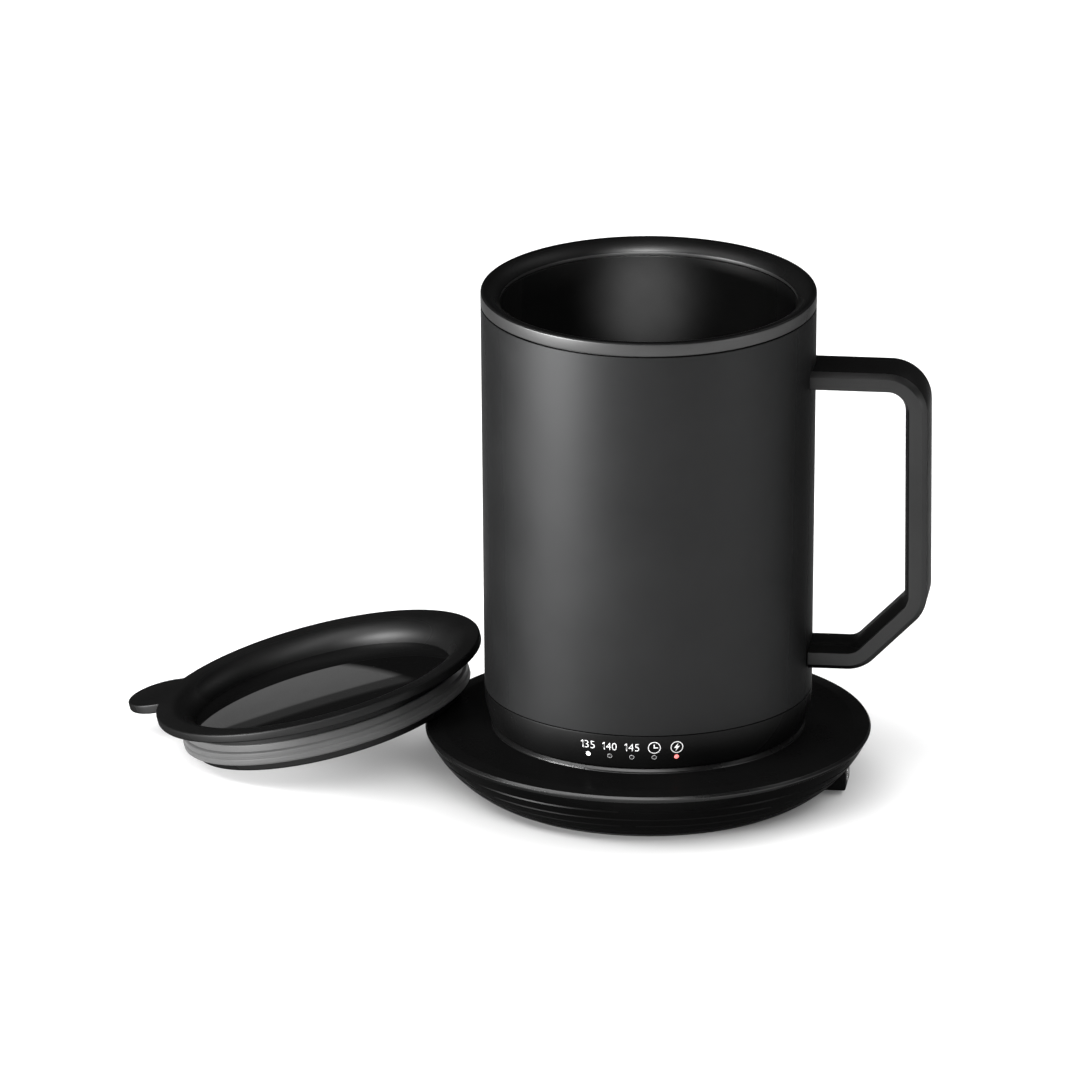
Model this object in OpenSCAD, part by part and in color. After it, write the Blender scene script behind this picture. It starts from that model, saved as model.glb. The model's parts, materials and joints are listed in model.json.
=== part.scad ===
// Self-heating mug on its charging coaster, with the lid leaning on the coaster.
// Millimetres. Origin on the table under the middle of the coaster, +Z up.
// The handle points along +X and the indicators face -Y.

/* [Mug] */
// Outer radius of the mug at its mouth
mug_top_r = 42; // [38:0.1:50]
// How much narrower the mug is at the joint between shell and base, in radius
mug_taper = 1; // [0:0.1:3]
// Thickness of the outer steel wall
shell_wall = 0.8; // [0.5:0.1:1.2]
// How much smaller the cup's mouth is than the mug, in radius
mouth_inset = 4.8; // [4.5:0.1:8]
// How much narrower the cup is at its floor than at its mouth
cup_taper = 1; // [0:0.1:3]
// Inside depth of the cup, from the rim to the floor
cup_depth = 84; // [65:0.5:110]
// Thickness of the cup's steel wall
cup_wall = 0.8; // [0.5:0.1:1.5]
// Radius of the corner between the cup's wall and floor
cup_corner_r = 8; // [3:0.5:15]
// Visible height of the rim ring
rim_h = 3.45; // [2.8:0.05:6]
// Width of the gap line under the rim ring
rim_gap = 0.35; // [0.1:0.05:0.8]
// How deep the rim ring's sloped lip reaches into the mouth
lip_drop = 2.8; // [1.5:0.1:3.2]
// Radius of the rim ring's outer top edge
rim_edge_r = 0.7; // [0.3:0.1:1]

/* [Base] */
// Visible height of the base housing
base_h = 9; // [7:0.5:15]
// How far the base housing draws in towards its foot
base_tuck = 1.8; // [0.8:0.1:3]
// Wall of the base housing
base_wall = 1.6; // [1.2:0.1:2.2]
// Thickness of the bottom cover
cover_t = 2.4; // [2.2:0.1:3.5]
// Height of the rubber foot ring below the bottom cover
foot_h = 1; // [0.8:0.1:2]
// Width of the rubber foot ring
foot_w = 4.6; // [4.4:0.1:7]
// Distance between two neighbouring indicator dots
dot_pitch = 5.6; // [4:0.1:6]
// Radius of an indicator dot
dot_r = 0.7; // [0.4:0.05:1]
// Height of the dots above the lower edge of the base housing
dot_rise = 3.3; // [2.6:0.1:4]
// Radius of the power button in the bottom cover
button_r = 4.4; // [3:0.1:6]
// Travel of the power button
button_travel = 0.5; // [0.3:0.05:0.5]

/* [Power pack] */
// Diameter of a battery cell
cell_d = 18.4; // [14:0.1:22]
// Thickness of the circuit boards
board_t = 1; // [0.6:0.1:1.6]
// Height of the tallest part on the control board
part_h = 1.5; // [1:0.1:4]
// Thickness of the battery tray
tray_t = 1; // [0.8:0.1:2]
// Thickness of the heater plate
heater_t = 1.2; // [0.8:0.1:3]
// Thickness of the heating film
film_t = 0.3; // [0.2:0.05:0.6]
// Thickness of the insulation pad
pad_t = 1.2; // [0.8:0.1:3]

/* [Handle] */
// How far the handle stands out from the mug's mouth
handle_reach = 28.5; // [24:0.5:40]
// Width of the strap
handle_w = 15; // [12:0.5:20]
// Thickness of the strap
handle_t = 5.7; // [5:0.1:8]
// Drop from the rim to the top of the handle
handle_drop = 18; // [12:0.5:26]
// Rise from the shell's lower edge to the bottom of the handle
handle_rise = 7.3; // [4:0.1:14]
// Inner radius of the upper corner
handle_corner_r = 4.4; // [2:0.1:8]
// Size of the cut across the lower corner, along each side
handle_cut = 14.5; // [9:0.5:16]
// Radius of the two bends of the cut, at the middle of the strap
handle_bend_r = 6.5; // [5:0.1:9]
// Bevel along the strap's inner edges
handle_inner_bevel = 2.2; // [0.5:0.1:2.4]
// Bevel along the strap's outer edges
handle_outer_bevel = 1.3; // [0.5:0.1:2]

/* [Coaster] */
// How far the coaster reaches out beyond the mug's mouth
coaster_margin = 13.8; // [12:0.1:25]
// Height of the coaster's top face above the table
coaster_h = 15.9; // [13.5:0.1:22]
// How much narrower the coaster's flat underside is than its rim, in radius
coaster_draw = 12.6; // [10:0.1:15]
// Height of the rubber pad below the underside
coaster_lift = 1.1; // [0.6:0.1:2.5]
// Thickness of the top cover
top_t = 2; // [1.6:0.1:3]
// Wall of the bowl
bowl_wall = 1.8; // [1.2:0.1:2.5]
// How far the bowl's side bulges beyond a straight cone
bowl_bulge = 1.35; // [0.6:0.05:2]
// Width of the sloped border round the top face
border_w = 4; // [2:0.1:6]
// Drop of the sloped border from its inside to its outside
border_drop = 0.35; // [0.1:0.05:0.5]
// Height of the locating ring round the mug's foot
ring_h = 1.2; // [0.8:0.1:2]
// Number of groove rows round the bowl
groove_rows = 4; // [2:1:5]
// Width of a groove
groove_w = 0.9; // [0.5:0.1:1.2]
// Depth of a groove
groove_d = 0.5; // [0.2:0.05:0.7]
// Angle of the break between two arcs of a groove row
groove_break = 4.5; // [2:0.5:15]

/* [Charging] */
// Distance of the outer charging pin from the axis
pin_offset = 8; // [7:0.1:10]
// Radius of a charging pin
pin_r = 1; // [0.7:0.05:1.3]
// Travel of a charging pin
pin_travel = 0.8; // [0.4:0.1:0.9]
// Radius of the power socket's bore
socket_bore_r = 1.75; // [1.4:0.05:2.1]
// Depth of the power socket's bore
socket_depth = 9; // [6:0.5:9.5]
// Width of the inlet block
inlet_w = 11; // [8:0.5:16]
// How far the inlet block stands out beyond the flat underside
inlet_reach = 7; // [5:0.1:8]

/* [Lid] */
// How much smaller the lid's flange is than the mug's mouth, in radius
lid_inset = 0; // [0:0.1:2]
// Thickness of the flange and the pull tab
flange_t = 2.3; // [1.8:0.1:3.2]
// Height of the whole lid
lid_h = 12.8; // [11:0.1:18]
// Width of the flange's flat
flange_flat = 3.5; // [2:0.1:6]
// Depth of the dished centre
dish_depth = 5.5; // [4:0.1:6.5]
// Rise of the dished centre's floor towards its middle
dish_crown = 0.9; // [0.2:0.1:1.5]
// Radius of the pull tab
tab_r = 9.3; // [6:0.1:12]
// How far the pull tab stands out beyond the flange
tab_reach = 10; // [6:0.1:12]
// Angle between the pull tab and the lid's low side
tab_turn = -10.7; // [-45:0.1:45]
// Height of the seal
seal_h = 5.2; // [4:0.1:6]
// Where the coaster's rim touches the leaning lid, as a share of its underside
lean_share = 0.899; // [0.85:0.001:0.95]
// Heading of the lid's high side, seen from above
lean_heading = -3.3; // [-10:0.1:10]
// Sideways shift of the leaning lid
lean_shift = 8.2; // [-12:0.1:12]

/* [Fits] */
// Gap between pieces that lift apart
lift_gap = 0.25; // [0.15:0.05:0.5]
// Gap round a piece that slides
slide_gap = 0.15; // [0.1:0.01:0.3]
// Gap round a piece that is fitted and stays
fit_gap = 0.05; // [0.03:0.01:0.1]

/* [Hidden] */
$fn = 96;
// Overshoot of a cut past the face that it opens
over = 1;
// Overlap of two shapes that make one piece
weld = 0.2;
// Straight pieces of a rounded outline
steps = 8;

// Heights of the coaster
bottom_z = coaster_lift;
pad_recess = 0.6;
floor_z = bottom_z + pad_recess + bowl_wall;
top_under = coaster_h - top_t;
ring_top = coaster_h + ring_h;

// Heights of the mug, from its foot to its rim
foot_z = coaster_h + lift_gap;
cover_z = foot_z + foot_h;
cover_top = cover_z + cover_t;
base_z = max(ring_top + lift_gap, cover_z + lift_gap);
joint_z = base_z + base_h;
board_gap = 0.85;
board_z = cover_top + board_gap;
board_top = board_z + board_t;
part_gap = 0.2;
tray_z = board_top + part_h + part_gap;
cell_z = tray_z + tray_t;
cell_top = cell_z + cell_d;
pad_z = cell_top + lift_gap;
film_z = pad_z + pad_t;
heater_z = film_z + film_t;
cup_under = heater_z + heater_t;
cup_floor = cup_under + cup_wall;
rim_top = cup_floor + cup_depth;
rim_z = rim_top - rim_h;
shell_line = 0.15;
shell_z = joint_z + shell_line;
shell_top = rim_z - rim_gap;

// Radii of the mug
mug_base_r = mug_top_r - mug_taper;
cup_mouth_r = mug_top_r - mouth_inset;
function shell_r(z) = mug_base_r + (mug_top_r - mug_base_r) * (z - joint_z) / (rim_top - joint_z);
base_foot_r = mug_base_r - base_tuck;
base_lip = 1.9;
opening_r = base_foot_r - base_lip;
cover_r = opening_r - fit_gap;
foot_r = cover_r - fit_gap;
spigot_r = mug_base_r - shell_wall - fit_gap;
spigot_in = spigot_r - base_wall;
spigot_h = 4.6;
base_arc_r = (base_h * base_h + base_tuck * base_tuck) / (2 * base_tuck);
base_arc_x = mug_base_r - base_arc_r;
function base_r(z) = base_arc_x + sqrt(pow(base_arc_r, 2) - pow(joint_z - z, 2));
lip_h = 1.1;
flange_z = rim_top - lip_drop - lip_h;
seat_t = 0.4;
cup_flange_w = 2.4;

// Screws of the bottom cover
screw_r = 0.95;
screw_head_r = 1.9;
screw_head_h = 0.85;
screw_turn = 55;
screw_slot = 0.5;
screw_slot_d = 0.35;
// Wall between a screw head and the edge of the cover
head_edge = 0.6;
screw_ring = cover_r - screw_head_r - head_edge;
// The posts reach into the housing's wall
post_r = base_r(cover_top) - base_wall - screw_ring + 0.4;
foot_groove = 0.6;
post_most = 6.4;
post_over_cells = 3;
post_h = min(post_most, cell_z + post_over_cells - cover_top);
screw_end = 0.6;
screw_len = post_h - screw_end;
screw_tip_gap = 0.4;

// Heater pack
heater_r = cup_mouth_r - cup_taper - cup_corner_r;
sensor_hole_r = 2;
sensor_r = 1.5;
sensor_h = 1.3;
sensor_lead_w = 1.2;
film_edge = 1;
pad_edge = 2;

// Battery pack
cell_gap = 0.3;
cell_y = (cell_d + cell_gap) / 2;
cell_end_gap = 1.3;
cell_l = 2 * (sqrt(pow(spigot_in, 2) - pow(cell_d + cell_gap, 2)) - cell_end_gap);
tray_wall = 1.2;
tray_half_y = cell_y + cell_d / 2 + fit_gap;
tray_side_h = cell_d * 0.5;
link_t = 0.4;
link_w = 6;
ear_w = 5;
ear_t = 1.4;

// Boards
board_margin = 2.6;
board_r = screw_ring - post_r - board_margin;
standoff_r = 2.2;
standoff_margin = 0.6;
standoff_ring = board_r - standoff_r - standoff_margin;
dot_z = base_z + dot_rise;
dot_angle = dot_pitch / base_r(dot_z) * 180 / PI;
dot_slots = [-2:2];
led_size = [1.6, 0.8, 0.8];
indicator_margin = 2.4;
indicator_gap = 0.4;
indicator_half = base_r(dot_z) * sin(2 * dot_angle) + indicator_margin;
indicator_y = sqrt(pow(base_r(base_z) - base_wall - indicator_gap, 2) - pow(indicator_half, 2));
indicator_h = dot_z + indicator_margin - cover_top;
guide_end = 0.5;
guide_in = base_r(dot_z) - base_wall - guide_end;

// Contacts and the button in the bottom cover
contact_t = 1;
centre_contact_r = 3.2;
ring_contact_w = 3;
post_pin_r = 1;
// Place of the button, as a share of the control board's radius
button_share = 0.71;
button_y = -button_share * board_r;
button_recess = 0.2;
button_flange = 1;
button_flange_t = 0.6;
button_pocket_z = cover_z + cover_t / 2;
switch_w = 4.5;
switch_h = 0.65;
switch_z = board_z - switch_h;
button_nub_r = 1.3;
button_nub_top = switch_z - fit_gap - button_travel;

// Handle
handle_top = rim_top - handle_drop;
handle_bottom = shell_z + handle_rise;
handle_x = mug_top_r + handle_reach - handle_t / 2;
handle_zt = handle_top - handle_t / 2;
handle_zb = handle_bottom + handle_t / 2;
handle_top_bend_r = handle_corner_r + handle_t / 2;
handle_screw_r = 1.45;
handle_screw_head_r = 2.3;
handle_screw_head_h = 1.2;
handle_screw_y = handle_w / 4;
handle_screw_len = 9;

// Coaster
coaster_r = mug_top_r + coaster_margin;
rim_step = 0.5;
bowl_top_r = coaster_r - rim_step;
coaster_bottom_r = coaster_r - coaster_draw;
bowl_low = [coaster_bottom_r, bottom_z];
bowl_high = [bowl_top_r, top_under];
bowl_tilt = atan2(bowl_high[1] - bowl_low[1], bowl_high[0] - bowl_low[0]);
pad_edge_w = 1.8;
pad_r = coaster_bottom_r - pad_edge_w;
rim_round = 0.8;
ring_out = base_foot_r;
ring_in = foot_r + 0.5;
coaster_screw_margin = 6;
coaster_screw_turn = 45;
coaster_screw_ring = pad_r - coaster_screw_margin;
boss_r = 3.8;
boss_h = 3.5;
coaster_head_r = 2.2;
coaster_head_h = 1.6;
coaster_screw_r = 1;
coaster_post_r = 2.8;
coaster_screw_len = 7;
coaster_slot = 0.6;
recess_z = bottom_z + pad_recess;
boss_top = recess_z + boss_h;
coaster_seat = recess_z + coaster_head_h;
holder_margin = 3.5;
holder_r = pin_offset + holder_margin;
holder_flange = 2;
holder_flange_t = 1.5;
holder_skin = top_t - fit_gap;
collar_r = pin_r + 0.5;
collar_t = 0.8;
chamber_r = collar_r + slide_gap;
barrel_r = chamber_r + 0.95;
barrel_h = pin_travel + 2.1;
holder_z = top_under - holder_flange_t;
coaster_board_z = holder_z - barrel_h - board_t;
coaster_board_margin = 6.5;
coaster_board_r = holder_r + coaster_board_margin;
coaster_board_post_r = 2.4;
coaster_board_turn = 30;
coaster_board_post_ring = coaster_board_r - coaster_board_post_r - standoff_margin;
pin_shoulder = coaster_h - holder_skin;
// Free height between a pin's tip and the mug's contact
pin_gap = 0.1;
pin_tip_z = cover_z - pin_gap;

// Inlet
inlet_x = coaster_bottom_r + inlet_reach;
socket_wall = 0.45;
socket_r = socket_bore_r + socket_wall;
inlet_floor = 0.9;
socket_z = bottom_z + inlet_floor + socket_r + 0.1;
inlet_top = socket_z + socket_r + 1.5;
inlet_in = inlet_x - socket_depth - 2.2;
socket_back = inlet_x - socket_depth - 1;
lead_r = 0.6;
lead_y = 1.2;
// How far a lead reaches under the coaster's board
lead_lap = 2;

// Lid, in its own frame: the flange's top face is at z = 0
lid_r = mug_top_r - lid_inset;
dish_top_r = lid_r - flange_flat;
dish_r = dish_top_r - 5.4;
dish_round = 1.55;
lid_skin = 1.6;
seal_out = cup_mouth_r - fit_gap;
neck_r = seal_out - 1.5;
seal_core_r = seal_out - 1.9;
core_in = seal_core_r - 1.5;
plug_r = seal_out - 2.6;
seal_top = -flange_t - 2.9;
seal_low = seal_top - seal_h;
plug_floor = 1.4;
plug_wall = 1.4;
plug_spigot = 1.6;
seal_rib = 0.55;

// The leaning lid rests on the table and on the coaster's rim
rest_r = coaster_r - rim_round * 0.4;
rest_z = coaster_h - border_drop;
lean = asin(rest_z / (2 * plug_r * lean_share));
lid_bottom_z = plug_r * sin(lean) + lift_gap;
lid_along = ((lid_bottom_z - rest_z) * cos(lean) - lift_gap) / sin(lean) - rest_r;

function dir(a) = [cos(a), sin(a)];
function arc(c, r, a0, a1, n) = [for (i = [0:n]) c + r * dir(a0 + (a1 - a0) * i / n)];
// Arc from p to q that bulges by rise to the right of the way from p to q
function bow(p, q, rise, n) =
    let (l = norm(q - p),
        rad = (l * l / 4 + rise * rise) / (2 * rise),
        side = [q[1] - p[1], p[0] - q[0]] / l,
        c = (p + q) / 2 - side * (rad - rise),
        a0 = atan2(p[1] - c[1], p[0] - c[0]),
        a1 = atan2(q[1] - c[1], q[0] - c[0]))
    arc(c, rad, a0, a1, n);

// Place along the bowl's outer side, from 0 at the underside to 1 at the rim
function bowl_at(f) =
    bowl_low + (bowl_high - bowl_low) * f + 4 * bowl_bulge * f * (1 - f) * dir(bowl_tilt - 90);
function groove_at(i) = 0.22 + 0.58 * i / (groove_rows - 1);

module ring(r_in, r_out, z0, z1) {
    rotate_extrude() translate([r_in, z0]) square([r_out - r_in, z1 - z0]);
}

module disc(r, z0, z1) {
    translate([0, 0, z0]) cylinder(h = z1 - z0, r = r);
}

module around(count, radius, turn) {
    for (i = [0:count - 1]) rotate([0, 0, turn + i * 360 / count]) translate([radius, 0, 0]) children();
}

// Cross of a screw head with radius r
module cross_slot(r, width, z0, z1) {
    for (turn = [0, 90]) rotate([0, 0, turn]) translate([-r * 0.7, -width / 2, z0])
        cube([r * 1.4, width, z1 - z0]);
}

// Four places on a circle, turned by an angle from the x axis to either side
module corners(radius, turn) {
    for (sx = [-1, 1], sy = [-1, 1]) translate([sx * radius * cos(turn), sy * radius * sin(turn), 0])
        children();
}

module shell_cone(extra) {
    z0 = shell_z - over;
    z1 = shell_top + over;
    translate([0, 0, z0]) cylinder(h = z1 - z0, r1 = shell_r(z0) + extra, r2 = shell_r(z1) + extra);
}

// Mug: shell, rim and cup

module handle_screw_places() {
    for (z = [handle_zt, handle_zb], y = [-handle_screw_y, handle_screw_y]) translate([0, y, z]) children();
}

module outer_shell() {
    wall = [
        [shell_r(shell_z) - shell_wall, shell_z],
        [shell_r(shell_z), shell_z],
        [shell_r(shell_top), shell_top],
        [shell_r(shell_top) - shell_wall, shell_top]
    ];
    color("#2b2c2c") difference() {
        rotate_extrude() polygon(wall);
        handle_screw_places() rotate([0, 90, 0])
            cylinder(h = mug_top_r + over, r = handle_screw_r + slide_gap);
    }
}

module rim_ring() {
    outer = mug_top_r;
    crest = outer - 1.5;
    skirt_r = shell_r(shell_top) - shell_wall - fit_gap;
    skirt_w = 1;
    skirt_h = 3.2;
    lip_z = rim_top - lip_drop;
    section = concat(
        [[skirt_r, rim_z], [outer, rim_z]],
        arc([outer - rim_edge_r, rim_top - rim_edge_r], rim_edge_r, 0, 90, steps),
        bow([crest, rim_top], [cup_mouth_r, lip_z], 0.5, steps),
        [[cup_mouth_r, flange_z + seat_t], [skirt_r - skirt_w, flange_z + seat_t],
            [skirt_r - skirt_w, shell_top - skirt_h], [skirt_r, shell_top - skirt_h]]);
    color("#5a5b5c") rotate_extrude() polygon(section);
}

module rim_seal() {
    color("#3c3c3c") ring(cup_mouth_r + 0.5, cup_mouth_r + cup_flange_w - 0.3, flange_z, flange_z + seat_t);
}

module inner_cup() {
    low_r = cup_mouth_r - cup_taper;
    corner = [low_r - cup_corner_r, cup_floor + cup_corner_r];
    section = concat(
        [[0, cup_under], [low_r - cup_corner_r, cup_under]],
        arc(corner, cup_corner_r + cup_wall, -90, 0, steps),
        [[cup_mouth_r + cup_wall, flange_z - cup_wall], [cup_mouth_r + cup_flange_w, flange_z - cup_wall],
            [cup_mouth_r + cup_flange_w, flange_z], [cup_mouth_r, flange_z]],
        arc(corner, cup_corner_r, 0, -90, steps),
        [[0, cup_floor]]);
    color("#1a1b1b") rotate_extrude() polygon(section);
}

// Mug: base

// The five indicator dots, each looking straight out from the mug's axis
module dot_places(radius) {
    for (i = dot_slots) rotate([0, 0, -90 + i * dot_angle]) translate([radius, 0, dot_z]) rotate([0, 90, 0])
        children();
}

module base_housing() {
    top_z = joint_z + spigot_h;
    sweep = asin(base_h / base_arc_r);
    lip_t = cover_top - base_z;
    section = concat(
        [[opening_r, base_z]],
        arc([base_arc_x, joint_z], base_arc_r, -sweep, 0, steps),
        [[spigot_r, joint_z], [spigot_r, top_z], [spigot_in, top_z], [spigot_in, joint_z - base_wall]],
        [[base_r(cover_top) - base_wall, cover_top], [opening_r, base_z + lip_t]]);
    groove_z = joint_z + spigot_h / 2;
    color("#0c0d0d") difference() {
        union() {
            rotate_extrude() polygon(section);
            corners(screw_ring, screw_turn) disc(post_r, cover_top, cover_top + post_h);
        }
        corners(screw_ring, screw_turn) disc(screw_r + fit_gap, cover_top - over, cover_top + screw_len);
        ring(spigot_r - 0.6, spigot_r + over, groove_z - 0.6, groove_z + 0.6);
        dot_places(guide_in - over)
            cylinder(h = base_wall + guide_end + 2 * over, r = dot_r + fit_gap, $fn = 32);
    }
}

module base_seal() {
    groove_z = joint_z + spigot_h / 2;
    color("#303030") ring(spigot_r - 0.55, spigot_r + fit_gap * 0.6, groove_z - 0.5, groove_z + 0.5);
}

module bottom_cover() {
    groove_top = cover_z + foot_groove;
    head_top = groove_top + screw_head_h + fit_gap;
    color("#101111") difference() {
        union() {
            disc(cover_r, cover_z, cover_top);
            around(3, standoff_ring, 90) disc(standoff_r, cover_top, board_z);
        }
        ring(foot_r - foot_w, foot_r + over, cover_z - over, groove_top);
        corners(screw_ring, screw_turn) {
            disc(screw_head_r + slide_gap, cover_z, head_top);
            disc(screw_r + slide_gap, cover_z, cover_top + over);
        }
        disc(centre_contact_r + fit_gap, cover_z - over, cover_z + contact_t);
        disc(post_pin_r + fit_gap, cover_z, cover_top + over);
        ring(pin_offset - ring_contact_w / 2 - fit_gap, pin_offset + ring_contact_w / 2 + fit_gap,
            cover_z - over, cover_z + contact_t);
        translate([-pin_offset, 0, 0]) disc(post_pin_r + fit_gap, cover_z, cover_top + over);
        translate([0, button_y, 0]) {
            disc(button_r + slide_gap, cover_z - over, cover_top);
            disc(button_r + button_flange + slide_gap, button_pocket_z, cover_top + over);
        }
    }
}

module foot_ring() {
    groove_top = cover_z + foot_groove;
    color("#1c1c1c") ring(foot_r - foot_w + fit_gap, foot_r, foot_z, groove_top);
}

module bottom_screws() {
    head_z = cover_z + foot_groove + fit_gap;
    color("#b0b3b5") corners(screw_ring, screw_turn) difference() {
        union() {
            disc(screw_head_r, head_z, head_z + screw_head_h);
            disc(screw_r, head_z + screw_head_h / 2, cover_top + screw_len - screw_tip_gap);
        }
        cross_slot(screw_head_r, screw_slot, head_z - over, head_z + screw_slot_d);
    }
}

// Mug: handle

// One bend of the strap's middle line, as points with their headings
function bend(p, h0, h1, r, n) =
    let (c = p - r * tan((h0 - h1) / 2) * dir(h0) + r * dir(h0 - 90))
    [for (i = [0:n]) let (h = h0 + (h1 - h0) * i / n) [c + r * dir(h + 90), h]];

module handle() {
    root = mug_base_r - shell_wall;
    path = concat(
        [[[root, handle_zt], 0]],
        bend([handle_x, handle_zt], 0, -90, handle_top_bend_r, 2 * steps),
        bend([handle_x, handle_zb + handle_cut], -90, -135, handle_bend_r, steps),
        bend([handle_x - handle_cut, handle_zb], -135, -180, handle_bend_r, steps),
        [[[root, handle_zb], -180]]);
    half_w = handle_w / 2;
    half_t = handle_t / 2;
    section = [
        [-half_t, -half_w + handle_inner_bevel],
        [-half_t + handle_inner_bevel, -half_w],
        [half_t - handle_outer_bevel, -half_w],
        [half_t, -half_w + handle_outer_bevel],
        [half_t, half_w - handle_outer_bevel],
        [half_t - handle_outer_bevel, half_w],
        [-half_t + handle_inner_bevel, half_w],
        [-half_t, half_w - handle_inner_bevel]
    ];
    m = len(section);
    last = len(path) - 1;
    points = [for (p = path, s = section) let (q = p[0] + s[0] * dir(p[1] + 90)) [q[0], s[1], q[1]]];
    sides = [for (i = [0:last - 1], j = [0:m - 1], k = [0, 1])
        let (a = i * m + j, b = i * m + (j + 1) % m)
        k == 0 ? [a, b, b + m] : [a, b + m, a + m]];
    caps = [[for (j = [m - 1:-1:0]) j], [for (j = [0:m - 1]) last * m + j]];
    color("#17181a") difference() {
        polyhedron(points = points, faces = concat(sides, caps), convexity = 4);
        shell_cone(fit_gap);
        handle_screw_places() rotate([0, 90, 0])
            cylinder(h = mug_top_r + handle_screw_len, r = handle_screw_r + fit_gap);
    }
}

module handle_screws() {
    edge_y = handle_screw_y + handle_screw_head_r;
    color("#a5a8aa") for (z = [handle_zt, handle_zb], y = [-handle_screw_y, handle_screw_y]) {
        seat = sqrt(pow(shell_r(z - handle_screw_head_r) - shell_wall, 2) - pow(edge_y, 2)) - fit_gap;
        translate([seat, y, z]) rotate([0, 90, 0]) {
            translate([0, 0, -handle_screw_head_h])
                cylinder(h = handle_screw_head_h, r = handle_screw_head_r);
            translate([0, 0, -handle_screw_head_h / 2]) cylinder(h = handle_screw_len, r = handle_screw_r);
        }
    }
}

// Mug: heater pack

module heater_plate() {
    color("#b9bcc0") disc(heater_r, heater_z, cup_under);
}

module heating_film() {
    color("#b5651d") ring(sensor_hole_r, heater_r - film_edge, film_z, heater_z);
}

module temperature_sensor() {
    color("#2f6f4f") union() {
        disc(sensor_r, heater_z - sensor_h, heater_z);
        translate([-sensor_lead_w / 2, -sensor_r - 0.2, heater_z - sensor_h])
            cube([sensor_lead_w, sensor_r, sensor_h / 2]);
    }
}

module insulation_pad() {
    color("#d8d2c4") ring(sensor_hole_r, heater_r + pad_edge, pad_z, film_z);
}

// Mug: battery pack

module cells_along_x(r, length) {
    for (s = [-1, 1]) translate([-length / 2, s * cell_y, cell_z + cell_d / 2]) rotate([0, 90, 0])
        cylinder(h = length, r = r);
}

module battery_tray() {
    half_x = cell_l / 2 + link_t + fit_gap;
    inner = tray_half_y;
    post_top = cover_top + post_h;
    ear_x = screw_ring * cos(screw_turn);
    ear_y = screw_ring * sin(screw_turn) + ear_w / 2;
    color("#e4e1d8") intersection() {
        disc(spigot_in - 0.3, tray_z - over, cell_top);
        union() {
            translate([-half_x - tray_wall, -inner - tray_wall, tray_z])
                cube([2 * (half_x + tray_wall), 2 * (inner + tray_wall), tray_t]);
            for (s = [-1, 1]) translate([-half_x, s * (inner + tray_wall / 2) - tray_wall / 2, tray_z])
                cube([2 * half_x, tray_wall, tray_t + tray_side_h]);
            for (sx = [-1, 1], sy = [-1, 1])
                translate([sx * ear_x - ear_w / 2, min(sy * inner, sy * ear_y), post_top])
                    cube([ear_w, ear_y - inner, ear_t]);
        }
    }
}

module battery_cells() {
    color("#3f6fb5") cells_along_x(cell_d / 2, cell_l);
}

module cell_links() {
    link_h = cell_d / 3;
    mid_z = cell_z + cell_d / 2 - link_h / 2;
    color("#c9ccce") {
        translate([cell_l / 2, -cell_y - link_w / 2, mid_z]) cube([link_t, 2 * cell_y + link_w, link_h]);
        for (s = [-1, 1]) translate([-cell_l / 2 - link_t, s * cell_y - link_w / 2, mid_z])
            cube([link_t, link_w, link_h]);
    }
}

// Mug: electronics

module control_board() {
    color("#1f5b33") disc(board_r, board_z, board_top);
}

module board_parts() {
    // Place, size and share of the tallest part's height, the first four as shares of the board's radius
    chips = [
        [-0.38, 0.25, 0.29, 0.29, 1],
        [0.33, 0.29, 0.21, 0.25, 0.8],
        [0.42, -0.33, 0.25, 0.25, 1],
        [-0.42, -0.38, 0.17, 0.21, 0.7],
        [0, 0.58, 0.38, 0.13, 0.9],
        [0, -0.63, 0.33, 0.13, 0.6]
    ];
    color("#222426") for (c = chips) {
        size = [c[2] * board_r, c[3] * board_r, c[4] * part_h];
        translate([c[0] * board_r - size[0] / 2, c[1] * board_r - size[1] / 2, board_top]) cube(size);
    }
}

module indicator_board() {
    color("#1f5b33") translate([-indicator_half, -indicator_y, cover_top])
        cube([2 * indicator_half, board_t, indicator_h]);
}

module indicator_leds() {
    color("#f2efe2") for (i = dot_slots)
        translate([base_r(dot_z) * sin(i * dot_angle) - led_size[0] / 2, -indicator_y - led_size[1],
            dot_z - led_size[2] / 2]) cube(led_size);
}

module light_guides() {
    out = base_r(dot_z - dot_r);
    color("#e8e8e8") dot_places(guide_in) cylinder(h = out - guide_in, r = dot_r, $fn = 32);
}

module power_button() {
    flange_low = button_pocket_z + fit_gap;
    color("#26282a") translate([0, button_y, 0]) {
        disc(button_r, cover_z + button_recess, flange_low + button_flange_t);
        disc(button_r + button_flange, flange_low, flange_low + button_flange_t);
        disc(button_nub_r, flange_low, button_nub_top);
    }
}

module button_switch() {
    color("#c0c2c4") translate([-switch_w / 2, button_y - switch_w / 2, switch_z])
        cube([switch_w, switch_w, switch_h]);
}

module centre_contact() {
    color("#d4af5a") union() {
        disc(centre_contact_r, cover_z, cover_z + contact_t);
        disc(post_pin_r, cover_z, board_z);
    }
}

module ring_contact() {
    color("#d4af5a") union() {
        ring(pin_offset - ring_contact_w / 2, pin_offset + ring_contact_w / 2, cover_z, cover_z + contact_t);
        translate([-pin_offset, 0, 0]) disc(post_pin_r, cover_z + contact_t / 2, board_z);
    }
}

// Coaster

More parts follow.
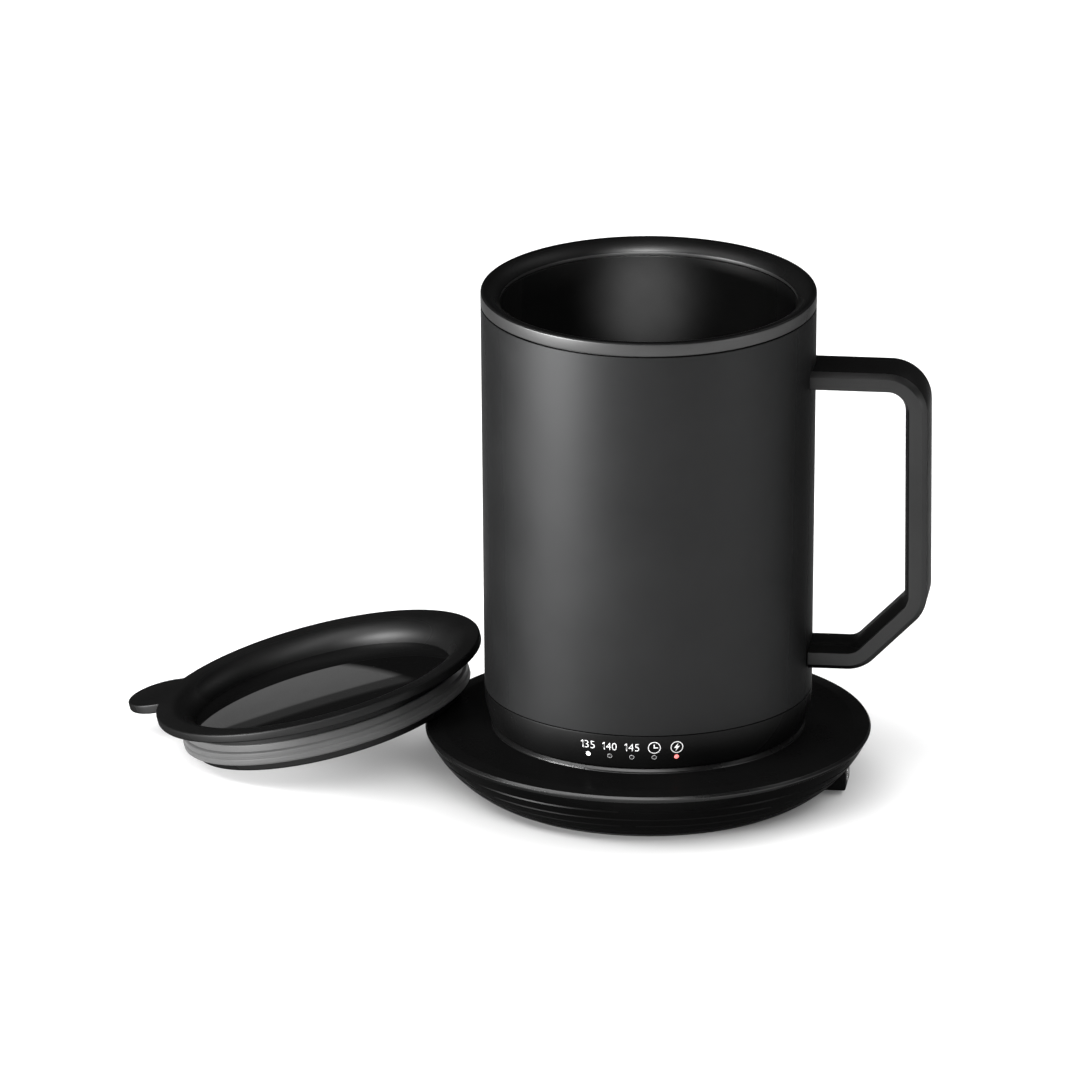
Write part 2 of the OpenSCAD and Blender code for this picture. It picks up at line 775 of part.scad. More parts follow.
module coaster_top() {
    border_in = coaster_r - rim_round - border_w;
    edge_z = coaster_h - border_drop;
    plate = concat(
        [[holder_r + fit_gap, top_under], [coaster_r - 0.3, top_under], [coaster_r, top_under + 0.3],
            [coaster_r, edge_z - rim_round]],
        arc([coaster_r - rim_round, edge_z - rim_round], rim_round, 0, 90, steps),
        [[border_in, coaster_h]],
        [[ring_out, coaster_h]],
        arc([ring_out - 0.5, ring_top - 0.5], 0.5, 0, 90, steps),
        [[ring_in, ring_top], [ring_in, coaster_h], [holder_r + fit_gap, coaster_h]]);
    skirt_r = bowl_top_r - bowl_wall - 0.9;
    skirt_w = 1.2;
    skirt_h = 1.4;
    color("#0d0e0e") difference() {
        union() {
            rotate_extrude() polygon(plate);
            ring(skirt_r - skirt_w, skirt_r, top_under - skirt_h, top_under + weld);
            around(4, coaster_screw_ring, coaster_screw_turn)
                disc(coaster_post_r, boss_top, top_under + weld);
        }
        around(4, coaster_screw_ring, coaster_screw_turn)
            disc(coaster_screw_r + fit_gap, bottom_z, coaster_seat + coaster_screw_len);
    }
}

module groove(f, turn) {
    a = atan2(bowl_at(f + 0.02)[1] - bowl_at(f - 0.02)[1], bowl_at(f + 0.02)[0] - bowl_at(f - 0.02)[0]);
    around(4, 0, turn + groove_break / 2) rotate_extrude(angle = 90 - groove_break)
        translate(bowl_at(f)) rotate(a) translate([-groove_w / 2, -over])
            square([groove_w, over + groove_d]);
}

module coaster_base() {
    shift = [-bowl_wall, 0];
    section = concat(
        [[0, recess_z], [pad_r + fit_gap, recess_z], [pad_r + fit_gap, bottom_z]],
        [for (i = [0:steps]) bowl_at(i / steps)],
        [for (i = [steps:-1:2]) bowl_at(i / steps) + shift],
        [[bowl_at(2 / steps)[0] - bowl_wall, floor_z], [0, floor_z]]);
    color("#0a0b0b") difference() {
        union() {
            difference() {
                rotate_extrude() polygon(section);
                for (i = [0:groove_rows - 1]) groove(groove_at(i), i % 2 == 0 ? 45 : 0);
            }
            around(4, coaster_screw_ring, coaster_screw_turn) disc(boss_r, recess_z, boss_top);
            around(3, coaster_board_post_ring, coaster_board_turn)
                disc(coaster_board_post_r, recess_z, coaster_board_z);
            translate([inlet_in, -inlet_w / 2, bottom_z])
                cube([inlet_x - inlet_in, inlet_w, inlet_top - bottom_z]);
        }
        disc(pad_r + fit_gap, bottom_z - over, recess_z);
        around(4, coaster_screw_ring, coaster_screw_turn) {
            disc(coaster_head_r + slide_gap, bottom_z, coaster_seat);
            disc(coaster_screw_r + slide_gap, bottom_z, boss_top + over);
        }
        translate([inlet_in - over, 0, socket_z]) rotate([0, 90, 0])
            cylinder(h = inlet_x - inlet_in + 2 * over, r = socket_r + fit_gap);
    }
}

module coaster_pad() {
    color("#202122") disc(pad_r, 0, bottom_z + pad_recess);
}

module coaster_screws() {
    color("#b0b3b5") around(4, coaster_screw_ring, coaster_screw_turn) difference() {
        union() {
            disc(coaster_head_r, recess_z + fit_gap, coaster_seat);
            disc(coaster_screw_r, coaster_seat - weld, coaster_seat + coaster_screw_len - screw_tip_gap);
        }
        cross_slot(coaster_head_r, coaster_slot, bottom_z, recess_z + coaster_slot);
    }
}

module dc_socket() {
    color("#3a3b3d") translate([0, 0, socket_z]) rotate([0, 90, 0]) difference() {
        translate([0, 0, socket_back]) cylinder(h = inlet_x - socket_back, r = socket_r);
        translate([0, 0, inlet_x - socket_depth]) cylinder(h = socket_depth + over, r = socket_bore_r);
    }
}

module inlet_leads() {
    high = [coaster_board_r - lead_lap, coaster_board_z - lead_r - fit_gap];
    low = [socket_back - lead_r, socket_z];
    fall = atan2(high[1] - low[1], low[0] - high[0]);
    color("#8a2f2f") for (s = [-1, 1]) translate([high[0], s * lead_y, high[1]]) rotate([0, 90 + fall, 0])
        cylinder(h = norm(low - high), r = lead_r, $fn = 24);
}

module coaster_board() {
    color("#1f5b33") disc(coaster_board_r, coaster_board_z, coaster_board_z + board_t);
}

module pin_places() {
    for (x = [0, pin_offset]) translate([x, 0, 0]) children();
}

module pin_holder() {
    low = coaster_board_z + board_t;
    color("#1a1a1a") difference() {
        union() {
            disc(holder_r, holder_z, coaster_h);
            disc(holder_r + holder_flange, holder_z, top_under);
            pin_places() disc(barrel_r, low, holder_z + weld);
        }
        pin_places() {
            disc(pin_r + slide_gap, low, coaster_h + over);
            disc(chamber_r, low - over, pin_shoulder);
        }
    }
}

module pin_spring() {
    low = coaster_board_z + board_t;
    high = pin_shoulder - fit_gap - collar_t;
    color("#c8cacc") ring(collar_r - 0.45, collar_r - 0.05, low, high);
}

module centre_spring() {
    pin_spring();
}

module ring_spring() {
    translate([pin_offset, 0, 0]) pin_spring();
}

module pin() {
    collar_top = pin_shoulder - fit_gap;
    stem_top = pin_tip_z - pin_r * 0.4;
    color("#d4af5a") union() {
        disc(collar_r, collar_top - collar_t, collar_top);
        disc(pin_r, collar_top - collar_t, stem_top);
        rotate_extrude() polygon(concat([[0, stem_top - 0.2], [pin_r, stem_top - 0.2]],
            bow([pin_r, stem_top], [0, pin_tip_z], pin_r * 0.15, steps)));
    }
}

module centre_pin() {
    pin();
}

module ring_pin() {
    translate([pin_offset, 0, 0]) pin();
}

// Lid

module on_lean() {
    rotate([0, 0, lean_heading]) translate([lid_along, lean_shift, lid_bottom_z]) rotate([0, -lean, 0])
        translate([0, 0, lid_h]) children();
}

module lid_cover() {
    edge = 0.5;
    crown_z = -dish_depth + dish_crown;
    tab_x = lid_r + tab_reach - tab_r;
    section = concat(
        [[0, crown_z - lid_skin], [core_in, -dish_depth - lid_skin], [core_in, seal_low],
            [seal_core_r, seal_low], [seal_core_r, seal_top], [neck_r, seal_top], [neck_r, -flange_t],
            [lid_r - edge, -flange_t], [lid_r, -flange_t + edge]],
        arc([lid_r - edge, -edge], edge, 0, 90, steps),
        bow([dish_top_r, 0], [dish_r, -dish_depth], dish_round, steps),
        [for (i = [steps - 1:-1:0]) let (f = i / steps)
            [dish_r * f, -dish_depth + dish_crown * (1 - f * f)]]);
    color("#0f1010") on_lean() union() {
        rotate_extrude() polygon(section);
        rotate([0, 0, 180 + tab_turn]) difference() {
            translate([tab_x, 0, 0]) disc(tab_r, -flange_t, 0);
            disc(lid_r - 1, -flange_t - over, over);
        }
    }
}

module lid_base() {
    edge = 0.8;
    low = -lid_h;
    spigot_out = core_in - fit_gap;
    spigot_in_r = spigot_out - plug_wall;
    section = concat(
        [[0, low]],
        arc([plug_r - edge, low + edge], edge, -90, 0, steps),
        [[seal_core_r, seal_low], [spigot_out, seal_low], [spigot_out, seal_low + plug_spigot],
            [spigot_in_r, seal_low + plug_spigot], [spigot_in_r, low + plug_floor], [0, low + plug_floor]]);
    color("#141515") on_lean() rotate_extrude() polygon(section);
}

module lid_seal() {
    pitch = (seal_h - 1) / 3;
    taper = 0.5;
    section = concat(
        [[seal_core_r + fit_gap, seal_low], [seal_out - 3 * taper, seal_low]],
        [for (i = [2:-1:0], k = [0:3]) let (z = seal_top - 0.6 - (i + 1) * pitch, r = seal_out - i * taper)
            [[r - seal_rib, z], [r, z + pitch * 0.25], [r, z + pitch * 0.7],
                [r - seal_rib, z + pitch * 0.95]][k]],
        [[seal_out - seal_rib, seal_top], [seal_core_r + fit_gap, seal_top]]);
    color("#8d8f91") on_lean() rotate_extrude() polygon(section);
}

outer_shell();
rim_ring();
rim_seal();
inner_cup();
base_housing();
base_seal();
bottom_cover();
foot_ring();
bottom_screws();
handle();
handle_screws();
heater_plate();
heating_film();
temperature_sensor();
insulation_pad();
battery_tray();
battery_cells();
cell_links();
control_board();
board_parts();
indicator_board();
indicator_leds();
light_guides();
power_button();
button_switch();
centre_contact();
ring_contact();
coaster_top();
coaster_base();
coaster_pad();
coaster_screws();
dc_socket();
inlet_leads();
coaster_board();
pin_holder();
centre_spring();
ring_spring();
centre_pin();
ring_pin();
lid_cover();
lid_base();
lid_seal();
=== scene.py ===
"""Dresses the self-heating mug, its charging coaster and its lid for a studio picture."""
import json
import logging
import math
from dataclasses import dataclass, field
from enum import Enum
from typing import NamedTuple, Sequence

import bpy
from mathutils import Matrix, Vector


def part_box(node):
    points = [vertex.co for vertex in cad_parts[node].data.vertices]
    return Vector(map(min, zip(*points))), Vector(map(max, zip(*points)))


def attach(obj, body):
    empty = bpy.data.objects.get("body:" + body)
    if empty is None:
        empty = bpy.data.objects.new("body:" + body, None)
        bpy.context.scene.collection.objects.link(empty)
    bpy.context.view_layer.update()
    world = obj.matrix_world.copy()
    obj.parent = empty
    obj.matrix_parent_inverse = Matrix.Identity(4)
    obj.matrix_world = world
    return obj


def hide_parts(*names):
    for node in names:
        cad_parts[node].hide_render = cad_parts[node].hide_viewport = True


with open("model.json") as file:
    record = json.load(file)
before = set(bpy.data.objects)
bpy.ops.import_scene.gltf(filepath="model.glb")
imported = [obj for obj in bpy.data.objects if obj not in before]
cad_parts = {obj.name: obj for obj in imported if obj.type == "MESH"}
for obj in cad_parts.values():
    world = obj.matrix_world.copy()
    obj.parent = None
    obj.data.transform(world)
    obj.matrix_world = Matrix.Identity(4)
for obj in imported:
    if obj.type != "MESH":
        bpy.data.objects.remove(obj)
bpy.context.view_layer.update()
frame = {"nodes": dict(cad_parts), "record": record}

MM = 0.001
FULL_TURN = 2 * math.pi
WHITE = (1, 1, 1, 1)
NOISE_RANGE = (0.3, 0.7)
GRAIN_HEIGHT = 0.05 * MM
WELD_REACH = 0.001 * MM
log = logging.getLogger("mug")

Piece = bpy.types.Object
Point = tuple[float, float]


class Body(Enum):
    """The moving bodies of the part."""

    COASTER = "coaster"
    MUG = "mug"
    LID = "lid"
    BUTTON = "button"
    CENTRE_PIN = "centre_pin"
    RING_PIN = "ring_pin"


class Cut(Enum):
    """How a tool shape acts on a piece."""

    REMOVE = "DIFFERENCE"
    ADD = "UNION"


class Lamp(Enum):
    """State of an indicator dot."""

    OFF = "unlit"
    WHITE = "white"
    RED = "red"


class Corner(NamedTuple):
    """Corner of a half-section: distance from the axis, height and rounding radius."""

    x: float
    z: float
    round: float = 0.0


@dataclass(frozen=True)
class Span:
    """Place of a CAD node: its heights, and half its width along Y."""

    low: float
    high: float
    radius: float

    @classmethod
    def of(cls, node: str) -> "Span":
        """Reads the place of a CAD node from the frame."""
        lo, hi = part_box(node)
        return cls(lo.z, hi.z, (hi.y - lo.y) / 2)


def rounded(corners: Sequence[Corner], arc_steps: int = 4) -> list[Point]:
    """Rounds the corners of a closed outline.

    Args:
        corners: The outline's corners in order, each with its rounding radius.
        arc_steps: Straight pieces in each rounded corner.

    Returns:
        The outline's points.
    """
    points: list[Point] = []
    for i, corner in enumerate(corners):
        here = Vector((corner.x, corner.z))
        if corner.round <= 0:
            points.append(tuple(here))
            continue
        last, following = corners[i - 1], corners[(i + 1) % len(corners)]
        back = (Vector((last.x, last.z)) - here).normalized()
        ahead = (Vector((following.x, following.z)) - here).normalized()
        half = back.angle(ahead) / 2
        centre = here + (back + ahead).normalized() * (corner.round / math.sin(half))
        start = here + back * (corner.round / math.tan(half)) - centre
        end = here + ahead * (corner.round / math.tan(half)) - centre
        for k in range(arc_steps + 1):
            points.append(tuple(centre + start.slerp(end, k / arc_steps) * corner.round))
    return points


def arc(centre: Point, radius: float, start: float, end: float, steps: int) -> list[Corner]:
    """Gives the points of an arc in a half-section.

    Args:
        centre: Middle of the arc.
        radius: Radius of the arc.
        start: First angle in degrees.
        end: Last angle in degrees.
        steps: Straight pieces of the arc.

    Returns:
        The arc's points as unrounded corners.
    """
    angles = [math.radians(start + (end - start) * i / steps) for i in range(steps + 1)]
    return [Corner(centre[0] + radius * math.cos(a), centre[1] + radius * math.sin(a)) for a in angles]


def bowed(p: Point, q: Point, rise: float, steps: int) -> list[Corner]:
    """Gives the points of an arc that bulges to the right of the way from p to q.

    Args:
        p: First point.
        q: Last point.
        rise: Height of the arc over its chord.
        steps: Straight pieces of the arc.

    Returns:
        The arc's points as unrounded corners.
    """
    start, end = Vector(p), Vector(q)
    chord = end - start
    radius = (chord.length_squared / 4 + rise * rise) / (2 * rise)
    side = Vector((chord.y, -chord.x)).normalized()
    centre = (start + end) / 2 - side * (radius - rise)
    first, last = start - centre, end - centre
    points = [centre + first.slerp(last, i / steps) * radius for i in range(steps + 1)]
    return [Corner(point.x, point.y) for point in points]


class Bench:
    """Modelling operators, each used on one fresh selection."""

    @staticmethod
    def clear() -> None:
        """Leaves edit mode and deselects everything."""
        if bpy.context.object and bpy.context.object.mode != "OBJECT":
            bpy.ops.object.mode_set(mode="OBJECT")
        bpy.ops.object.select_all(action="DESELECT")

    @staticmethod
    def pick(piece: Piece) -> None:
        """Makes a piece the only selected and active object.

        Args:
            piece: The piece to select.
        """
        Bench.clear()
        piece.select_set(True)
        bpy.context.view_layer.objects.active = piece

    @staticmethod
    def open_all() -> None:
        """Opens the active piece in edit mode with all of it selected."""
        bpy.ops.object.mode_set(mode="EDIT")
        bpy.ops.mesh.select_all(action="SELECT")

    @staticmethod
    def named(name: str) -> Piece:
        """Names the object that an operator has just made.

        Args:
            name: Name of the piece and of its mesh.

        Returns:
            The named piece.
        """
        piece = bpy.context.object
        piece.name = name
        piece.data.name = name
        return piece

    @staticmethod
    def outline(name: str, points: Sequence[Point]) -> Piece:
        """Draws a closed outline in the XZ plane by extruding one vertex from point to point.

        Args:
            name: Name of the piece.
            points: The outline's points, as distance from the axis and height.

        Returns:
            The piece, left in edit mode with its whole outline selected.
        """
        Bench.clear()
        bpy.ops.mesh.primitive_plane_add(size=MM)
        piece = Bench.named(name)
        Bench.open_all()
        bpy.ops.mesh.merge(type="CENTER")
        bpy.ops.transform.translate(value=(points[0][0], 0, points[0][1]))
        for here, there in zip(points, points[1:]):
            step = (there[0] - here[0], 0, there[1] - here[1])
            bpy.ops.mesh.extrude_region_move(TRANSFORM_OT_translate={"value": step})
        bpy.ops.object.mode_set(mode="OBJECT")
        last = len(piece.data.vertices) - 1
        for vertex in piece.data.vertices:
            vertex.select = vertex.index in (0, last)
        bpy.ops.object.mode_set(mode="EDIT")
        bpy.ops.mesh.edge_face_add()
        bpy.ops.mesh.select_all(action="SELECT")
        return piece

    @staticmethod
    def turned(name: str, points: Sequence[Point], steps: int) -> Piece:
        """Turns a closed half-section about the Z axis.

        Args:
            name: Name of the piece.
            points: The half-section's points, as distance from the axis and height.
            steps: Pieces of the whole turn.

        Returns:
            The turned piece.
        """
        piece = Bench.outline(name, points)
        bpy.ops.mesh.spin(steps=steps, angle=FULL_TURN, center=(0, 0, 0), axis=(0, 0, 1))
        Bench.weld(piece)
        return piece

    @staticmethod
    def lathe(name: str, corners: Sequence[Corner], steps: int, arc_steps: int = 4,
              angle: float = 35.0) -> Piece:
        """Turns a half-section with rounded corners and shades it smooth.

        Args:
            name: Name of the piece.
            corners: The half-section's corners in order.
            steps: Pieces of the whole turn.
            arc_steps: Straight pieces in each rounded corner.
            angle: Smallest angle in degrees of an edge that stays sharp.

        Returns:
            The turned piece.
        """
        piece = Bench.turned(name, rounded(corners, arc_steps), steps)
        Bench.smooth(piece, angle)
        return piece

    @staticmethod
    def weld(piece: Piece) -> None:
        """Merges doubled points and turns all faces outwards.

        Args:
            piece: The piece, in either mode.
        """
        Bench.pick(piece)
        Bench.open_all()
        bpy.ops.mesh.remove_doubles(threshold=WELD_REACH)
        bpy.ops.mesh.dissolve_degenerate(threshold=WELD_REACH)
        bpy.ops.mesh.select_all(action="SELECT")
        bpy.ops.mesh.normals_make_consistent(inside=False)
        bpy.ops.object.mode_set(mode="OBJECT")

    @staticmethod
    def modify(piece: Piece, kind: str, **settings: object) -> None:
        """Adds a modifier and applies it.

        Args:
            piece: The piece to change.
            kind: Blender's type of modifier.
            **settings: The modifier's settings.
        """
        Bench.pick(piece)
        modifier = piece.modifiers.new(kind.title(), kind)
        for key, value in settings.items():
            setattr(modifier, key, value)
        bpy.ops.object.modifier_apply(modifier=modifier.name)

    @staticmethod
    def bevel(piece: Piece, width: float, angle: float, segments: int) -> None:
        """Rounds the edges that are sharper than an angle in degrees, in so many segments."""
        Bench.modify(piece, "BEVEL", width=width, segments=segments, limit_method="ANGLE",
                     angle_limit=math.radians(angle), use_clamp_overlap=True)

    @staticmethod
    def combine(piece: Piece, tool: Piece, cut: Cut) -> None:
        """Cuts a closed tool shape out of a piece, or adds it, and deletes the tool."""
        Bench.modify(piece, "BOOLEAN", operation=cut.value, object=tool, solver="EXACT")
        bpy.data.objects.remove(tool)

    @staticmethod
    def join(pieces: Sequence[Piece], name: str) -> Piece:
        """Joins pieces into the first one.

        Args:
            pieces: The pieces to join.
            name: Name of the result.

        Returns:
            The joined piece.
        """
        Bench.pick(pieces[0])
        for piece in pieces:
            piece.select_set(True)
        bpy.ops.object.join()
        return Bench.named(name)

    @staticmethod
    def copy(piece: Piece, name: str) -> Piece:
        """Copies a piece with its own mesh.

        Args:
            piece: The piece to copy.
            name: Name of the copy.

        Returns:
            The copy.
        """
        Bench.pick(piece)
        bpy.ops.object.duplicate(linked=False)
        return Bench.named(name)

    @staticmethod
    def place(piece: Piece, pose: Matrix) -> None:
        """Moves a piece by a matrix and keeps the place in its mesh.

        Args:
            piece: The piece to move.
            pose: The matrix.
        """
        Bench.pick(piece)
        piece.matrix_world = pose
        bpy.ops.object.transform_apply(location=True, rotation=True, scale=True)

    @staticmethod
    def smooth(piece: Piece, angle: float = 35.0) -> None:
        """Shades a piece smooth, apart from edges sharper than an angle in degrees."""
        Bench.pick(piece)
        bpy.ops.object.shade_smooth_by_angle(angle=math.radians(angle))


@dataclass(frozen=True)
class Tree:
    """The node tree of a material or of the world."""

    nodes: bpy.types.Nodes
    links: bpy.types.NodeLinks

    @classmethod
    def of(cls, owner: bpy.types.Material | bpy.types.World) -> "Tree":
        """Opens the tree of a material or of the world."""
        owner.use_nodes = True
        return cls(owner.node_tree.nodes, owner.node_tree.links)

    def fill(self, node: bpy.types.Node, inputs: dict[str | int, object]) -> None:
        """Sets or links the inputs of a node.

        Args:
            node: The node.
            inputs: A value, or the socket to link, for each input's name or number.
        """
        for key, value in inputs.items():
            if isinstance(value, bpy.types.NodeSocket):
                self.links.new(value, node.inputs[key])
            else:
                node.inputs[key].default_value = value

    def add(self, kind: str, inputs: dict[str | int, object] | None = None,
            **settings: object) -> bpy.types.Node:
        """Adds a node.

        Args:
            kind: Blender's type of node, without its prefix.
            inputs: Values and sockets for its inputs.
            **settings: The node's settings.

        Returns:
            The node.
        """
        node = self.nodes.new(f"ShaderNode{kind}")
        for key, value in settings.items():
            setattr(node, key, value)
        self.fill(node, inputs or {})
        return node

    def calculate(self, operation: str, first: object, second: object) -> bpy.types.NodeSocket:
        """Adds a calculation on two values or sockets, and gives the socket with its result."""
        return self.add("Math", {0: first, 1: second}, operation=operation).outputs[0]

    def spread(self, value: bpy.types.NodeSocket, source: Point, target: Point = (0.0, 1.0),
               shape: str = "LINEAR") -> bpy.types.NodeSocket:
        """Maps one range of values to another.

        Args:
            value: The socket with the value.
            source: The range that the value comes from.
            target: The range that it goes to.
            shape: Blender's name for how it goes from one end to the other.

        Returns:
            The socket with the result.
        """
        node = self.add("MapRange", {
            "Value": value, "From Min": source[0], "From Max": source[1],
            "To Min": target[0], "To Max": target[1],
        }, interpolation_type=shape)
        return node.outputs["Result"]


@dataclass(frozen=True)
class Finish:
    """A surface finish with its own colour drift, roughness drift and grain."""

    slot: str
    dark: tuple[float, float, float]
    light: tuple[float, float, float]
    rough: tuple[float, float]
    specular: float = 0.5
    metallic: float = 0.0
    edge: float = 1.0
    drift: float = 60.0
    grain: float = 6000.0
    grain_depth: float = 0.0
    stretch: tuple[float, float, float] = (1.0, 1.0, 1.0)
    glow: float = 0.0

    def material(self) -> bpy.types.Material:
        """Makes the finish's material, or finds the one already made.

        Returns:
            The node material.
        """
        name = f"finish_{self.slot}"
        if name in bpy.data.materials:
            return bpy.data.materials[name]
        material = bpy.data.materials.new(name)
        tree = Tree.of(material)
        shader = tree.nodes["Principled BSDF"]
        tree.fill(shader, {"Specular IOR Level": self.specular, "Metallic": self.metallic,
                           "Specular Tint": (self.edge, self.edge, self.edge, 1)})
        places = tree.add("TexCoord")
        mapping = tree.add("Mapping", {"Vector": places.outputs["Object"], "Scale": self.stretch})
        cloud = self._noise(tree, mapping, self.drift, 3.0)
        self._colour(tree, cloud, shader)
        tree.fill(shader, {"Roughness": tree.spread(cloud, NOISE_RANGE, self.rough)})
        if self.grain_depth > 0:
            bump = tree.add("Bump", {"Strength": self.grain_depth, "Distance": GRAIN_HEIGHT,
                                     "Height": self._noise(tree, mapping, self.grain, 2.0)})
            tree.fill(shader, {"Normal": bump.outputs["Normal"]})
        return material

    @staticmethod
    def _noise(tree: Tree, mapping: bpy.types.Node, scale: float, detail: float) -> bpy.types.NodeSocket:
        """Adds a noise on the piece's own coordinates, in cells per metre, and gives its socket."""
        noise = tree.add("TexNoise", {"Vector": mapping.outputs["Vector"], "Scale": scale, "Detail": detail})
        return noise.outputs["Fac"]

    def _colour(self, tree: Tree, cloud: bpy.types.NodeSocket, shader: bpy.types.Node) -> None:
        """Drifts the colour between the dark and the light tone.

        Args:
            tree: The material's tree.
            cloud: The socket with the noise that the colour follows.
            shader: The material's shader.
        """
        ramp = tree.add("ValToRGB", {"Fac": cloud})
        for tone, place, colour in zip(ramp.color_ramp.elements, NOISE_RANGE, (self.dark, self.light)):
            tone.position = place
            tone.color = (*colour, 1)
        tree.fill(shader, {"Base Color": ramp.outputs["Color"]})
        if self.glow > 0:
            tree.fill(shader, {"Emission Color": ramp.outputs["Color"], "Emission Strength": self.glow})


def grey(tone: float, warm: float = 0.0) -> tuple[float, float, float]:
    """Makes a grey in linear light.

    Args:
        tone: How light the grey is.
        warm: Share by which red is raised and blue lowered, or the other way if negative.

    Returns:
        The red, green and blue of the grey.
    """
    return tone * (1 + warm), tone, tone * (1 - warm)


FINISHES: dict[str, Finish] = {finish.slot: finish for finish in (
    Finish("shell_coat", grey(0.0208, -0.01), grey(0.0232, -0.01), (0.48, 0.52), 0.2, metallic=0.92, edge=0.3,
           grain=5200, grain_depth=0.08),
    Finish("rim_metal", grey(0.054), grey(0.060), (0.42, 0.46), 0.3, metallic=0.92, edge=0.3,
           grain=4000, grain_depth=0.04),
    Finish("cup_coat", grey(0.014), grey(0.017), (0.44, 0.5), 0.2, metallic=0.92, edge=0.2,
           grain=5200, grain_depth=0.06),
    Finish("base_gloss", grey(0.010), grey(0.012), (0.42, 0.47), 0.2, metallic=0.92, edge=0.3,
           grain=5200, grain_depth=0.03),
    Finish("black_plastic", grey(0.010), grey(0.014), (0.5, 0.58), 0.35, grain=4200, grain_depth=0.22),
    Finish("handle_plastic", grey(0.029), grey(0.034), (0.36, 0.42), 0.2, metallic=0.96, edge=0.1,
           grain=5200, grain_depth=0.06),
    Finish("coaster_gloss", grey(0.030), grey(0.034), (0.26, 0.3), 0.2, metallic=0.92, edge=0.15,
           grain=5200, grain_depth=0.04),
    Finish("coaster_satin", grey(0.0048), grey(0.0058), (0.34, 0.4), 0.15, metallic=0.9, edge=0.2,
           grain=4600, grain_depth=0.1),
    Finish("lid_gloss", grey(0.021), grey(0.0235), (0.48, 0.52), 0.2, metallic=0.96, edge=0.1,
           grain=5200, grain_depth=0.02),
    Finish("seal_silicone", grey(0.043), grey(0.050), (0.5, 0.58), 0.3, grain=3000, grain_depth=0.04),
    Finish("black_rubber", grey(0.012), grey(0.017), (0.65, 0.75), 0.25, grain=3000, grain_depth=0.3),
    Finish("button_rubber", grey(0.04), grey(0.055), (0.6, 0.7), 0.25, grain=3000, grain_depth=0.3),
    Finish("screw_steel", grey(0.48), grey(0.56), (0.28, 0.36), metallic=1.0, grain=5000,
           grain_depth=0.1, stretch=(1, 1, 0.2)),
    Finish("socket_metal", grey(0.4), grey(0.46), (0.24, 0.32), metallic=1.0, grain=5000,
           grain_depth=0.08, stretch=(0.2, 1, 1)),
    Finish("heater_metal", grey(0.62), grey(0.7), (0.32, 0.4), metallic=1.0, grain=3000,
           grain_depth=0.15, stretch=(0.1, 1, 1)),
    Finish("heating_film", (0.38, 0.15, 0.035), (0.46, 0.2, 0.06), (0.3, 0.4), grain=1500,
           grain_depth=0.1),
    Finish("insulation", grey(0.52, 0.06), grey(0.68, 0.06), (0.9, 0.98), 0.1, drift=400, grain=2400,
           grain_depth=1.0),
    Finish("tray_plastic", grey(0.62, 0.05), grey(0.7, 0.05), (0.45, 0.55), grain=3000, grain_depth=0.15),
    Finish("cell_can", (0.07, 0.16, 0.38), (0.09, 0.2, 0.45), (0.28, 0.36), grain=3000,
           grain_depth=0.04),
    Finish("circuit_board", (0.015, 0.1, 0.04), (0.025, 0.15, 0.06), (0.35, 0.5), drift=700,
           grain=2500, grain_depth=0.2),
    Finish("chip_black", grey(0.02), grey(0.03), (0.5, 0.6), 0.3, grain=5000, grain_depth=0.25),
    Finish("led_white", grey(0.72, 0.03), grey(0.82, 0.03), (0.3, 0.4), drift=900),
    Finish("light_guide", grey(0.7), grey(0.78), (0.25, 0.32), drift=900),
    Finish("contact_brass", (0.66, 0.45, 0.16), (0.76, 0.55, 0.22), (0.2, 0.28), metallic=1.0,
           grain=4000, grain_depth=0.06),
    Finish("lead_insulation", (0.26, 0.02, 0.02), (0.34, 0.04, 0.035), (0.4, 0.5), grain=3000,
           grain_depth=0.05),
)}

WINDOW = Finish("lid_window", grey(0.054), grey(0.058), (0.015, 0.02), 0.2, metallic=0.95, edge=0.5)
PRINT = Finish("print_white", grey(0.55), grey(0.66), (0.5, 0.6), 0.2, drift=900)
RING_PRINT = Finish("print_grey", grey(0.3), grey(0.38), (0.5, 0.6), 0.2, drift=900)
LAMPS: dict[Lamp, Finish] = {
    Lamp.OFF: Finish("dot_unlit", grey(0.008), grey(0.012), (0.2, 0.28), 0.4, drift=900),
    Lamp.WHITE: Finish("dot_white", grey(0.9), grey(0.95), (0.3, 0.36), drift=900, glow=0.9),
    Lamp.RED: Finish("dot_red", (0.75, 0.16, 0.15), (0.82, 0.2, 0.19), (0.3, 0.36), drift=900, glow=0.75),
}


def hand_over(piece: Piece, body: Body, slot: str, replaced: str | None = None,
              finish: Finish | None = None) -> Piece:
    """Gives a finished piece its body and the material of its slot, or its own finish.

    Args:
        piece: The finished piece.
        body: The body that it rides on.
        slot: The record's material slot.
        replaced: The CAD node that it stands for, if any.
        finish: Its finish, where that isn't the slot's own.

    Returns:
        The piece.
    """
    piece.data.materials.clear()
    piece.data.materials.append((finish or FINISHES[slot]).material())
    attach(piece, body.value)
    if replaced:
        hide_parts(replaced)
    log.info("%s rides on %s as %s", piece.name, body.value, slot)
    return piece


